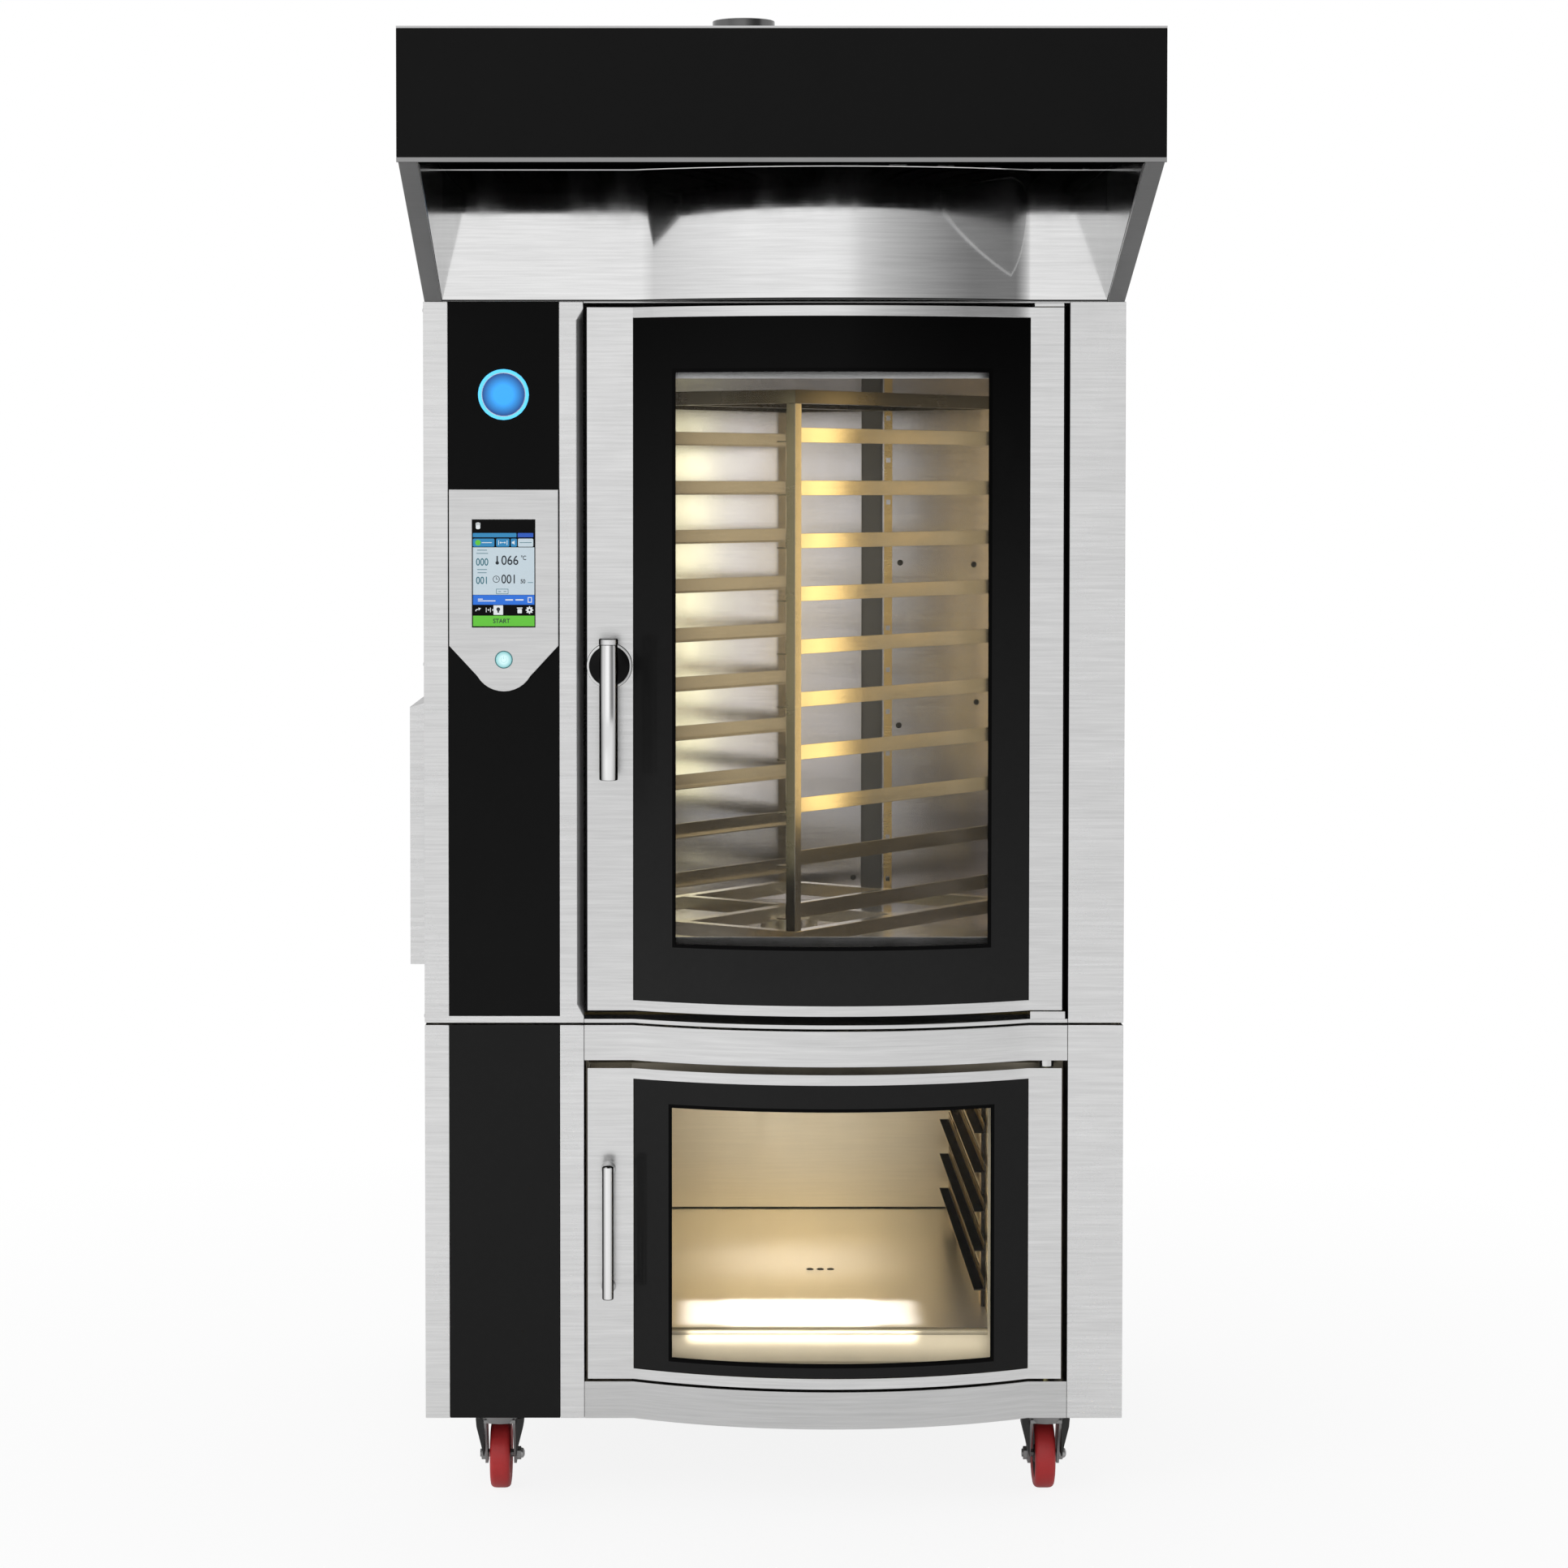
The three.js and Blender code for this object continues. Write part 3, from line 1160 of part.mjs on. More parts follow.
function addHood() {
  const front = -hoodOverhang + fasciaThickness;
  const profile = outline([
    [0, ovenTop],
    [hoodDepth, ovenTop],
    [hoodDepth, hoodTop],
    [front, hoodTop],
    [front, lipBottom],
  ]);
  const slope = Math.hypot(front, hoodSkirt);
  const hollow = outline([
    [hoodRib, ovenTop + sheet],
    [hoodDepth + lap, ovenTop + sheet],
    [hoodDepth + lap, hoodTop - sheet],
    [front + sheet, hoodTop - sheet],
    [front + sheet, lipBottom + (sheet * slope) / -front],
  ]);
  const x0 = left + hoodInset;
  const x1 = right - hoodInset;
  [['hood_left_side', x0], ['hood_right_side', x1 - hoodSide]].forEach(([name, x]) => {
    const panel = sideward(profile, x, x + hoodSide);
    const inside = sideward(hollow, x + sheet, x + hoodSide - sheet);
    addPart(name, cut(panel, [inside]), materials.brushedSteel);
  });

  const a = x0 + hoodSide + fitGap;
  const b = x1 - hoodSide - fitGap;
  const roof = block(a, b, -hoodOverhang, hoodDepth, hoodTop - sheet, hoodTop);
  const back = block(a, b, hoodDepth - sheet, hoodDepth, ovenTop, hoodTop - lap);
  const upstand = block(a, b, front, front + sheet, fasciaBottom, hoodTop - lap);
  const lip = block(a, b, -hoodOverhang, -hoodOverhang + hoodLipReturn, lipBottom, fasciaBottom);
  const trims = [[lipBottom, fasciaBottom], [fasciaTop, hoodTop]].map(
    ([z0, z1]) => block(left, right, -hoodOverhang, front - fitGap, z0, z1));
  const flueHole = rodZ(flueX, flueY, hoodTop - sheet - lap, hoodTop + lap, flueRadius - sheet);
  const hood = join([roof, back, upstand, lip, ...trims]);
  addPart('hood_shell', cut(hood, [flueHole]), materials.brushedSteel);

  const wallTop = ovenTop + hoodWallHeight;
  const wall = cut(upright(curvedFront(a, b, 0, hoodWallDepth), ovenTop, wallTop),
    [upright(curvedFront(a + sheet, b - sheet, sheet, hoodWallDepth + lap), ovenTop - lap, wallTop + lap)]);
  addPart('hood_back_wall', wall, materials.brushedSteel);

  const glass = block(left, right, -hoodOverhang, front - fitGap, fasciaBottom, fasciaTop);
  addPart('hood_fascia', glass, materials.blackGlass);

  addGreaseFilter(a, b, front + sheet, wallTop);
  const flue = new THREE.LatheGeometry([
    [flueRadius - sheet, 0], [flueRadius + flueFlange, 0], [flueRadius + flueFlange, sheet],
    [flueRadius, sheet],
    [flueRadius, flueHeight], [flueRadius - sheet, flueHeight], [flueRadius - sheet, 0],
  ].map(([r, h]) => new THREE.Vector2(r, h)), 24);
  flue.rotateX(Math.PI / 2).translate(flueX, flueY, hoodTop + fitGap);
  addPart('flue_collar', flue, materials.brushedSteel);
}

// baffle filter: a frame with sloping slats, lying between the lip and the top of the back wall
function addGreaseFilter(x0, x1, y0, wallTop) {
  const z0 = wallTop + fitGap;
  const z1 = z0 + filterThickness;
  const rim = filterRim;
  const pieces = [shell([x0 + fitGap, x1 - fitGap, y0 + fitGap, filterRearY, z0, z1],
    [x0 + rim, x1 - rim, y0 + rim, filterRearY - rim, z0 - lap, z1 + lap])];
  const pitch = (x1 - x0 - 2 * rim) / filterSlats;
  const low = z0 + slatThickness;
  const high = z1 - slatThickness;
  for (let i = 0; i < filterSlats; i += 1) {
    const x = x0 + rim + (i + 0.5) * pitch;
    const slat = outline([[x - slatHalf, low], [x, high - slatThickness], [x + slatHalf, low],
      [x + slatHalf, low + slatThickness], [x, high], [x - slatHalf, low + slatThickness]]);
    pieces.push(frontward(slat, y0 + rim - lap, filterRearY - rim + lap));
  }
  addPart('grease_filter', join(pieces), materials.galvanised);
}

// ---------------------------------------------------------------- rear and casters

function addCableGland() {
  const reach = glandReach - fitGap;
  const profile = [
    [0, 0],
    [glandFlange, 0],
    [glandFlange, glandFlangeThickness],
    [glandBody, glandFlangeThickness],
    [glandBody, glandBodyReach],
    [glandBore + glandWall, reach],
    [glandBore, reach],
    [glandBore, glandSeat],
    [0, glandSeat],
  ];
  const gland = new THREE.LatheGeometry(profile.map(([r, h]) => new THREE.Vector2(r, h)), 12);
  gland.translate(left + glandInset, cabinetDepth + fitGap, casterHeight + glandRise);
  addPart('cable_gland', gland, materials.blackPlastic);
}

function casterPlaces() {
  return [
    { name: 'front_left', x: -casterX, y: casterEndInset },
    { name: 'front_right', x: casterX, y: casterEndInset },
    { name: 'rear_left', x: -casterX, y: cabinetDepth - casterEndInset },
    { name: 'rear_right', x: casterX, y: cabinetDepth - casterEndInset },
  ];
}

// swivelling fork: a turned head under the pad, and two cheeks that hold the axle
function casterFork(x, y) {
  const top = casterHeight - padThickness - fitGap;
  const crown = top - crownDrop;
  const swivelY = y - casterTrail;
  const cheekX = wheelWidth / 2 + wheelClearance;
  const outerX = cheekX + forkSheet;
  const head = new THREE.LatheGeometry([
    [0, crown - forkSheet], [swivelRadius - forkHeadTaper, crown - forkSheet],
    [swivelRadius + forkHeadFlare, top - forkHeadTaper], [swivelRadius, top], [0, top],
  ].map(([r, h]) => new THREE.Vector2(r, h)), 14);
  head.rotateX(Math.PI / 2).translate(x, swivelY, 0);
  const cheek = outline([
    [swivelY - bridgeHalf, crown],
    [swivelY + bridgeHalf, crown],
    [y + cheekRear, wheelRadius + cheekRise],
    [y + cheekRear - cheekCorner, wheelRadius - cheekDrop],
    [y - cheekFront + cheekCorner, wheelRadius - cheekDrop],
    [y - cheekFront, wheelRadius],
  ]);
  const cheeks = [x - outerX, x + cheekX].map((x0) => sideward(cheek, x0, x0 + forkSheet));
  const bridge = block(x - outerX, x + outerX, swivelY - bridgeHalf, swivelY + bridgeHalf,
    crown - forkSheet, crown + lap);
  const axle = rodX(y, wheelRadius, x - outerX - axleEnd, x + outerX + axleEnd, axleRadius, smallSteps);
  const nuts = [x - outerX - axleNutThickness, x + outerX - lap].map(
    (x0) => rodX(y, wheelRadius, x0, x0 + axleNutThickness + lap, axleNut, 6));
  return join([head, bridge, ...cheeks, axle, ...nuts]);
}

// hub and tyre in one turned piece, with a rounded tread
function casterWheel(x, y) {
  const half = wheelWidth / 2;
  const flank = half - hubSetback;
  const web = half - webSetback;
  const side = [
    [axleRadius + fitGap, flank],
    [wheelHubRadius, flank],
    [wheelHubRadius + 2, web],
    [wheelRadius - tyreDepth - 2, web],
    [wheelRadius - tyreDepth, flank],
    [wheelRadius, treadWidth / 2],
  ];
  const profile = [...side.map(([r, h]) => [r, -h]), ...[...side].reverse()];
  profile.push(profile[0]);
  const wheel = new THREE.LatheGeometry(profile.map(([r, h]) => new THREE.Vector2(r, h)), 18);
  return wheel.rotateZ(-Math.PI / 2).translate(x, y, wheelRadius);
}

function addCasters() {
  casterPlaces().forEach(({ name, x, y }) => {
    addPart(`caster_fork_${name}`, casterFork(x, y), materials.galvanised);
    addPart(`caster_wheel_${name}`, casterWheel(x, y), materials.redTyre);
  });
}

// ---------------------------------------------------------------- assembly

addChassis();
addProoferCasing();
addProoferLiner();
runnerRack('runner_rack_left', prooferLeftX, 1);
runnerRack('runner_rack_right', prooferRightX, -1);
addPlinthAndBeam();
addControlColumn();
addHingeColumns();
addControls();
addOvenCasing();
addChamberLiner();
addInsulation();
addAirBaffle();
addFan();
addHeatingElement();
addChamberLamp();
addGearmotor();
addGaskets();
addOvenHinges();
addDoors();
addHandles();
addRack();
addSideBox();
addHood();
addCableGland();
addCasters();

export default oven;
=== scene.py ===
import json
import math

import bmesh
import bpy
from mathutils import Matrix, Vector

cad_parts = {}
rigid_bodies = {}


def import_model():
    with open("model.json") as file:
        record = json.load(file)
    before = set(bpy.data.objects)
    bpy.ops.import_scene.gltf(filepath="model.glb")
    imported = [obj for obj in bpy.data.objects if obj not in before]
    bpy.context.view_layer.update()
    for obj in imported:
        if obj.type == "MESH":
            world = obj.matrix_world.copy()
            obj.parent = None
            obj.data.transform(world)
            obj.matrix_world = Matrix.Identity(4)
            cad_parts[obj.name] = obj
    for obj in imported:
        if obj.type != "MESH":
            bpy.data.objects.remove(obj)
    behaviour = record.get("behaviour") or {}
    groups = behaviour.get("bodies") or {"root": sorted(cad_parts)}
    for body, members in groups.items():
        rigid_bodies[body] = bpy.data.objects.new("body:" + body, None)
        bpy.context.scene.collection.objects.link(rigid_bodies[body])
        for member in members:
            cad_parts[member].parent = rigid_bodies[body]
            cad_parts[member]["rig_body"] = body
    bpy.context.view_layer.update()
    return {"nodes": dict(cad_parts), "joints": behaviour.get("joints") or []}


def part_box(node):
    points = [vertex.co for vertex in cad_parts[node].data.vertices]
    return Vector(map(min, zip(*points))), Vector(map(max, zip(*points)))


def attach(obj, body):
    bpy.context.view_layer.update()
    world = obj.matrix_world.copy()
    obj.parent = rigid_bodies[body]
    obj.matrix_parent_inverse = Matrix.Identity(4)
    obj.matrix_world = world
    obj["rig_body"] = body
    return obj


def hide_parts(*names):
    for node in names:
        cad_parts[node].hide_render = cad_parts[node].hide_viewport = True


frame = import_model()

# ------------------------------------------------------------------ sizes, in metres

MM = 0.001
FIT = 0.3 * MM                      # clearance that the solids keep to each other
CREASE = 12                         # degrees: facets of the curve blend, its two creases stay sharp
JOINTS = {joint["name"]: joint for joint in frame["joints"]}
PIN_RADIUS = 6 * MM                 # a hinge pin with its bush


def low(node):
    """The left, front, bottom corner of a node's box."""
    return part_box(node)[0]


def high(node):
    """The right, rear, top corner of a node's box."""
    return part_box(node)[1]


# the curve that doors, beam, plinth and hood wall share, read from the door and its pane
CURVE_LEFT = low("oven_door_glass").x - FIT
CURVE_RIGHT = high("oven_door_glass").x + FIT
CURVE_FRONT = low("oven_door_frame").y
FLAT_FRONT = low("upper_hinge_column").y
CURVE_MID = (CURVE_LEFT + CURVE_RIGHT) / 2
CURVE_RISE = FLAT_FRONT - CURVE_FRONT
CURVE_HALF = (CURVE_RIGHT - CURVE_LEFT) / 2
CURVE_RADIUS = (CURVE_HALF ** 2 + CURVE_RISE ** 2) / (2 * CURVE_RISE)


def arc_y(x, inset=0.0):
    """Y of the shared curve at x, set back by inset."""
    centre_y = CURVE_FRONT + CURVE_RADIUS
    return centre_y - math.sqrt((CURVE_RADIUS - inset) ** 2 - (x - CURVE_MID) ** 2)


# rear wall of the oven chamber: its channel, perforated strip, seams and screws
REAR_TRIM_FOOT, REAR_TRIM_TOP = 0.79, 1.66
CHANNEL_LEFT, CHANNEL_RIGHT = 0.193, 0.228
STRIP_LEFT, STRIP_RIGHT = 0.231, 0.2445
STRIP_SLOTS, STRIP_PITCH = 12, 70 * MM
SEAM_PLACES = (0.165, 0.270, 0.3665)
REAR_SCREW_PLACES = ((0.258, 1.343), (0.381, 1.340), (0.256, 1.216), (0.256, 1.071), (0.180, 0.816),
                     (0.240, 0.812), (0.386, 1.11))

# floor of the proofing chamber
PROOFER_FLOOR_Z = 0.249
DRAIN_PITCH, DRAIN_INSET = 16 * MM, 398 * MM


# ------------------------------------------------------------------ camera

CAMERA_PLACE = (-0.0743, -5.572, 1.4707)
CAMERA_PITCH = 1.945                # degrees below the horizon
CAMERA_LENS = 84.76
CAMERA_SHIFT = (0.0528, -0.110)


def make_camera():
    """The photograph's view, a little below the horizon, through a shifted lens."""
    data = bpy.data.cameras.new("camera")
    data.lens = CAMERA_LENS
    data.sensor_width = 36
    data.shift_x, data.shift_y = CAMERA_SHIFT
    camera = bpy.data.objects.new("camera", data)
    camera.location = CAMERA_PLACE
    camera.rotation_euler = (math.radians(90 - CAMERA_PITCH), 0, 0)
    bpy.context.scene.collection.objects.link(camera)
    bpy.context.scene.camera = camera


# ------------------------------------------------------------------ shader building

def add(tree, kind, inputs=None, **settings):
    """A shader node with its settings and its inputs, which are values or other nodes' sockets."""
    made = tree.nodes.new("ShaderNode" + kind)
    for key, value in settings.items():
        setattr(made, key, value)
    for key, value in (inputs or {}).items():
        if isinstance(value, bpy.types.NodeSocket):
            tree.links.new(value, made.inputs[key])
        else:
            made.inputs[key].default_value = value
    return made


def new_group(name, inputs, outputs):
    """An empty shader node group with named sockets; returns the tree and both end nodes."""
    tree = bpy.data.node_groups.new(name, "ShaderNodeTree")
    kinds = {"colour": "NodeSocketColor", "value": "NodeSocketFloat"}
    for label, kind, default in inputs:
        socket = tree.interface.new_socket(label, in_out="INPUT", socket_type=kinds[kind])
        socket.default_value = default
    for label, kind in outputs:
        tree.interface.new_socket(label, in_out="OUTPUT", socket_type=kinds[kind])
    return tree, tree.nodes.new("NodeGroupInput").outputs, tree.nodes.new("NodeGroupOutput").inputs


def maths(tree, operation, a, b=0.0):
    """The result of one Math node on values or sockets."""
    return add(tree, "Math", {0: a, 1: b}, operation=operation).outputs[0]


def stretched_noise(tree, scale, detail=2.0, roughness=0.6):
    """Noise in the piece's own coordinates, each axis with its own scale (values or sockets)."""
    place = add(tree, "TexCoord").outputs["Object"]
    size = add(tree, "CombineXYZ", {"X": scale[0], "Y": scale[1], "Z": scale[2]}).outputs[0]
    spread = add(tree, "VectorMath", {0: place, 1: size}, operation="MULTIPLY").outputs[0]
    return add(tree, "TexNoise", {"Vector": spread, "Scale": 1.0, "Detail": detail,
                                  "Roughness": roughness}).outputs["Fac"]


def shade(tree, colour, factor):
    """colour made lighter or darker by a factor."""
    grey = add(tree, "CombineColor", {"Red": factor, "Green": factor, "Blue": factor}).outputs[0]
    mix = add(tree, "Mix", {0: 1.0, 6: colour, 7: grey}, data_type="RGBA", blend_type="MULTIPLY")
    return mix.outputs[2]


def make_brush_lines():
    """Fine parallel grinding lines of stainless sheet, level on upright faces."""
    tree, given, made = new_group(
        "brush_lines",
        [("Colour", "colour", (0.7, 0.7, 0.7, 1)), ("Contrast", "value", 0.1),
         ("Roughness", "value", 0.3), ("Spread", "value", 0.1),
         ("Fineness", "value", 600.0), ("Length", "value", 9.0)],
        [("Colour", "colour"), ("Roughness", "value"), ("Height", "value")])
    along, across = given["Length"], given["Fineness"]
    level = stretched_noise(tree, (along, along, across), 3.0)
    flat = stretched_noise(tree, (along, across, along), 3.0)
    normal = add(tree, "NewGeometry").outputs["Normal"]
    upward = maths(tree, "ABSOLUTE", add(tree, "SeparateXYZ", {0: normal}).outputs["Z"])
    on_top = maths(tree, "GREATER_THAN", upward, 0.7)
    lines = add(tree, "Mix", {0: on_top, 2: level, 3: flat}, data_type="FLOAT").outputs[0]
    wide = stretched_noise(tree, (2.0, 2.0, 26.0), 2.0)
    blend = maths(tree, "ADD", maths(tree, "MULTIPLY", lines, 0.75), maths(tree, "MULTIPLY", wide, 0.25))
    centred = maths(tree, "SUBTRACT", blend, 0.5)
    factor = maths(tree, "ADD", maths(tree, "MULTIPLY", centred, given["Contrast"]), 1.0)
    rough = maths(tree, "ADD", maths(tree, "MULTIPLY", centred, given["Spread"]), given["Roughness"])
    tree.links.new(shade(tree, given["Colour"], factor), made["Colour"])
    tree.links.new(rough, made["Roughness"])
    tree.links.new(lines, made["Height"])
    return tree


def make_handling_marks():
    """Soft smudges and wiping streaks: raises roughness here and there."""
    tree, given, made = new_group(
        "handling_marks",
        [("Roughness", "value", 0.1), ("Amount", "value", 0.1), ("Size", "value", 7.0)],
        [("Roughness", "value"), ("Mask", "value")])
    cloud = stretched_noise(tree, (given["Size"], given["Size"], given["Size"]), 4.0, 0.55)
    drawn_out = maths(tree, "MULTIPLY", given["Size"], 3.0)
    streak = stretched_noise(tree, (drawn_out, 8.0, given["Size"]), 3.0, 0.7)
    product = maths(tree, "MULTIPLY", cloud, streak)
    mask = add(tree, "MapRange", {"Value": product, "From Min": 0.2, "From Max": 0.42}).outputs[0]
    rough = maths(tree, "ADD", given["Roughness"], maths(tree, "MULTIPLY", mask, given["Amount"]))
    tree.links.new(rough, made["Roughness"])
    tree.links.new(mask, made["Mask"])
    return tree


def make_fine_grain():
    """Even small-scale grain for cast, moulded, plated and rubber surfaces."""
    tree, given, made = new_group(
        "fine_grain",
        [("Colour", "colour", (0.5, 0.5, 0.5, 1)), ("Contrast", "value", 0.2),
         ("Roughness", "value", 0.5), ("Spread", "value", 0.1), ("Scale", "value", 700.0)],
        [("Colour", "colour"), ("Roughness", "value"), ("Height", "value")])
    grain = stretched_noise(tree, (given["Scale"],) * 3, 3.0)
    cloud = stretched_noise(tree, (18.0, 18.0, 18.0), 3.0)
    both = maths(tree, "ADD", maths(tree, "MULTIPLY", grain, 0.5), maths(tree, "MULTIPLY", cloud, 0.5))
    centred = maths(tree, "SUBTRACT", both, 0.5)
    factor = maths(tree, "ADD", maths(tree, "MULTIPLY", centred, given["Contrast"]), 1.0)
    rough = maths(tree, "ADD", maths(tree, "MULTIPLY", centred, given["Spread"]), given["Roughness"])
    tree.links.new(shade(tree, given["Colour"], factor), made["Colour"])
    tree.links.new(rough, made["Roughness"])
    tree.links.new(grain, made["Height"])
    return tree


BRUSH_LINES = make_brush_lines()
HANDLING_MARKS = make_handling_marks()
FINE_GRAIN = make_fine_grain()


def start_finish(name, **sockets):
    """A material with one Principled shader whose constant sockets are set here."""
    finish = bpy.data.materials.new(name)
    finish.use_nodes = True
    tree = finish.node_tree
    shader = tree.nodes["Principled BSDF"]
    for key, value in sockets.items():
        shader.inputs[key.replace("_", " ")].default_value = value
    return finish, tree, shader


def use_group(tree, group, **inputs):
    """A node group with its inputs, which are values or other nodes' sockets; returns its outputs."""
    made = tree.nodes.new("ShaderNodeGroup")
    made.node_tree = group
    for key, value in inputs.items():
        if isinstance(value, bpy.types.NodeSocket):
            tree.links.new(value, made.inputs[key])
        else:
            made.inputs[key].default_value = value
    return made.outputs


def relief(tree, shader, height, depth, strength=1.0):
    """Small relief from a height socket, over what the mesh itself shows."""
    bump = add(tree, "Bump", {"Height": height, "Distance": depth, "Strength": strength})
    tree.links.new(bump.outputs[0], shader.inputs["Normal"])


def grey(level):
    """A neutral colour."""
    return (level, level, level, 1.0)


def sheet_steel(name, colour, roughness, contrast=0.3, spread=0.06, fineness=300.0, length=9.0,
                metallic=1.0, **sockets):
    """Brushed stainless sheet with faint handling marks."""
    finish, tree, shader = start_finish(name, Metallic=metallic, **sockets)
    lines = use_group(tree, BRUSH_LINES, Colour=colour, Contrast=contrast, Roughness=roughness,
                      Spread=spread, Fineness=fineness, Length=length)
    marks = use_group(tree, HANDLING_MARKS, Roughness=lines["Roughness"], Amount=0.05, Size=5.0)
    tree.links.new(lines["Colour"], shader.inputs["Base Color"])
    tree.links.new(marks["Roughness"], shader.inputs["Roughness"])
    relief(tree, shader, lines["Height"], 0.008 * MM, 0.1)
    return finish


def grained(name, colour, roughness, metallic=0.0, contrast=0.25, scale=700.0, depth=0.03 * MM,
            **sockets):
    """Cast, moulded, plated or painted surface with an even grain."""
    finish, tree, shader = start_finish(name, Metallic=metallic, **sockets)
    grain = use_group(tree, FINE_GRAIN, Colour=colour, Contrast=contrast, Roughness=roughness,
                      Spread=0.16, Scale=scale)
    tree.links.new(grain["Colour"], shader.inputs["Base Color"])
    tree.links.new(grain["Roughness"], shader.inputs["Roughness"])
    relief(tree, shader, grain["Height"], depth, 0.5)
    return finish


def gloss_panel(name, colour, roughness=0.06, specular=0.12, foot=None, z0=0.0, z1=1.0):
    """Back-painted glass with faint wiping marks; with a foot colour it lightens from z1 down to z0."""
    finish, tree, shader = start_finish(name, Specular_IOR_Level=specular)
    if foot is not None:
        height = add(tree, "SeparateXYZ", {0: add(tree, "TexCoord").outputs["Object"]}).outputs["Z"]
        share = add(tree, "MapRange", {"Value": height, "From Min": z0, "From Max": z1}).outputs[0]
        colour = add(tree, "Mix", {0: share, 6: foot, 7: colour}, data_type="RGBA").outputs[2]
    grain = use_group(tree, FINE_GRAIN, Colour=colour, Contrast=0.25, Roughness=roughness,
                      Spread=0.02, Scale=90.0)
    marks = use_group(tree, HANDLING_MARKS, Roughness=grain["Roughness"], Amount=0.12, Size=6.0)
    tree.links.new(grain["Colour"], shader.inputs["Base Color"])
    tree.links.new(marks["Roughness"], shader.inputs["Roughness"])
    return finish


def clear_pane(name, tint, opacity):
    """Clear glass that shows what is behind it, a little smoked, with faint marks."""
    finish, tree, shader = start_finish(name, Specular_IOR_Level=0.3)
    marks = use_group(tree, HANDLING_MARKS, Roughness=0.03, Amount=0.1, Size=9.0)
    grain = use_group(tree, FINE_GRAIN, Colour=tint, Contrast=0.2, Roughness=0.05, Spread=0.02, Scale=60.0)
    alpha = maths(tree, "ADD", maths(tree, "MULTIPLY", marks["Mask"], 0.012), opacity)
    tree.links.new(grain["Colour"], shader.inputs["Base Color"])
    tree.links.new(marks["Roughness"], shader.inputs["Roughness"])
    tree.links.new(alpha, shader.inputs["Alpha"])
    return finish


def lit(name, colour, strength, roughness=0.2, centre=None, reach=None, rim=None):
    """A lit surface; with a centre it fades to the rim colour at the given reach."""
    finish, tree, shader = start_finish(name, Emission_Strength=strength)
    grain = use_group(tree, FINE_GRAIN, Colour=colour, Contrast=0.12, Roughness=roughness,
                      Spread=0.05, Scale=300.0)
    shown = grain["Colour"]
    if centre is not None:
        place = add(tree, "TexCoord").outputs["Object"]
        gap = add(tree, "VectorMath", {0: place, 1: centre}, operation="DISTANCE").outputs["Value"]
        fade = add(tree, "MapRange", {"Value": gap, "From Min": reach * 0.45, "From Max": reach}).outputs[0]
        shown = add(tree, "Mix", {0: fade, 6: shown, 7: rim}, data_type="RGBA").outputs[2]
    tree.links.new(shade(tree, shown, 0.4), shader.inputs["Base Color"])
    tree.links.new(shown, shader.inputs["Emission Color"])
    tree.links.new(grain["Roughness"], shader.inputs["Roughness"])
    return finish


def polished_bar_with_painted_shade(name):
    """Ground and polished bar: bright where it faces the room, painted darker at its turning edges as
    shade.
    """
    finish, tree, shader = start_finish(name, Metallic=1.0, Specular_Tint=grey(0.15))
    lines = use_group(tree, BRUSH_LINES, Colour=grey(0.95), Contrast=0.08, Roughness=0.14,
                      Spread=0.04, Fineness=160.0, Length=1200.0)
    # painted shade: the colour darkens as the surface turns away from the view
    turned_away = add(tree, "LayerWeight", {"Blend": 0.5}).outputs["Facing"]
    depth = add(tree, "MapRange", {"Value": turned_away, "From Min": 0.06, "From Max": 0.46,
                                   "To Min": 1.0, "To Max": 0.06}).outputs[0]
    tree.links.new(shade(tree, lines["Colour"], depth), shader.inputs["Base Color"])
    tree.links.new(lines["Roughness"], shader.inputs["Roughness"])
    return finish


STEEL = sheet_steel("brushed_steel", grey(0.80), 0.26, contrast=0.5)
PLATE_STEEL = sheet_steel("plate_steel", grey(0.75), 0.3, contrast=0.5)
CURVED_STEEL = sheet_steel("curved_steel", grey(0.77), 0.2, contrast=0.5)
# a darker copy of the curved steel: painted shade on the plinth
PLINTH_PAINTED_SHADE_STEEL = sheet_steel("plinth_painted_shade_steel", grey(0.66), 0.2, contrast=0.5)
# a darker copy of the brushed steel: painted shade on the control column's slanted edge
BEVEL_PAINTED_SHADE_STEEL = sheet_steel("bevel_painted_shade_steel", grey(0.60), 0.35)
# a darker copy of the steel: painted shade on the side box's top and along the hood's lip
LIP_PAINTED_SHADE_STEEL = sheet_steel("lip_painted_shade_steel", grey(0.34), 0.3)
SIDE_STEEL = sheet_steel("side_steel", grey(0.66), 0.33, contrast=0.4)
# near-black steel as painted shade: in the gaps beside the doors, on the doors' free edges and on the upper
# chamber's sealing land
PAINTED_SHADE_STEEL = sheet_steel("painted_shade_edge_steel", grey(0.06), 0.5)
# a dark copy of the steel: painted shade on the hood side panels' sloping edges
HOOD_EDGE_PAINTED_SHADE = sheet_steel("hood_edge_painted_shade_steel", grey(0.17), 0.4)
# near-black: painted shade inside the hood's mouth and on the grease filter
HOOD_PAINTED_SHADE_BLACK = grained("hood_inner_painted_shade_black", grey(0.002), 0.8, Specular_IOR_Level=0.0)
# a dark copy of the steel: painted shade on the lining sheets inside the hood's side panels
HOOD_CHEEK_PAINTED_SHADE = sheet_steel("hood_cheek_painted_shade_steel", grey(0.30), 0.14)
HOOD_WALL_STEEL = sheet_steel("hood_wall_steel", grey(0.80), 0.05, contrast=0.5, spread=0.04)
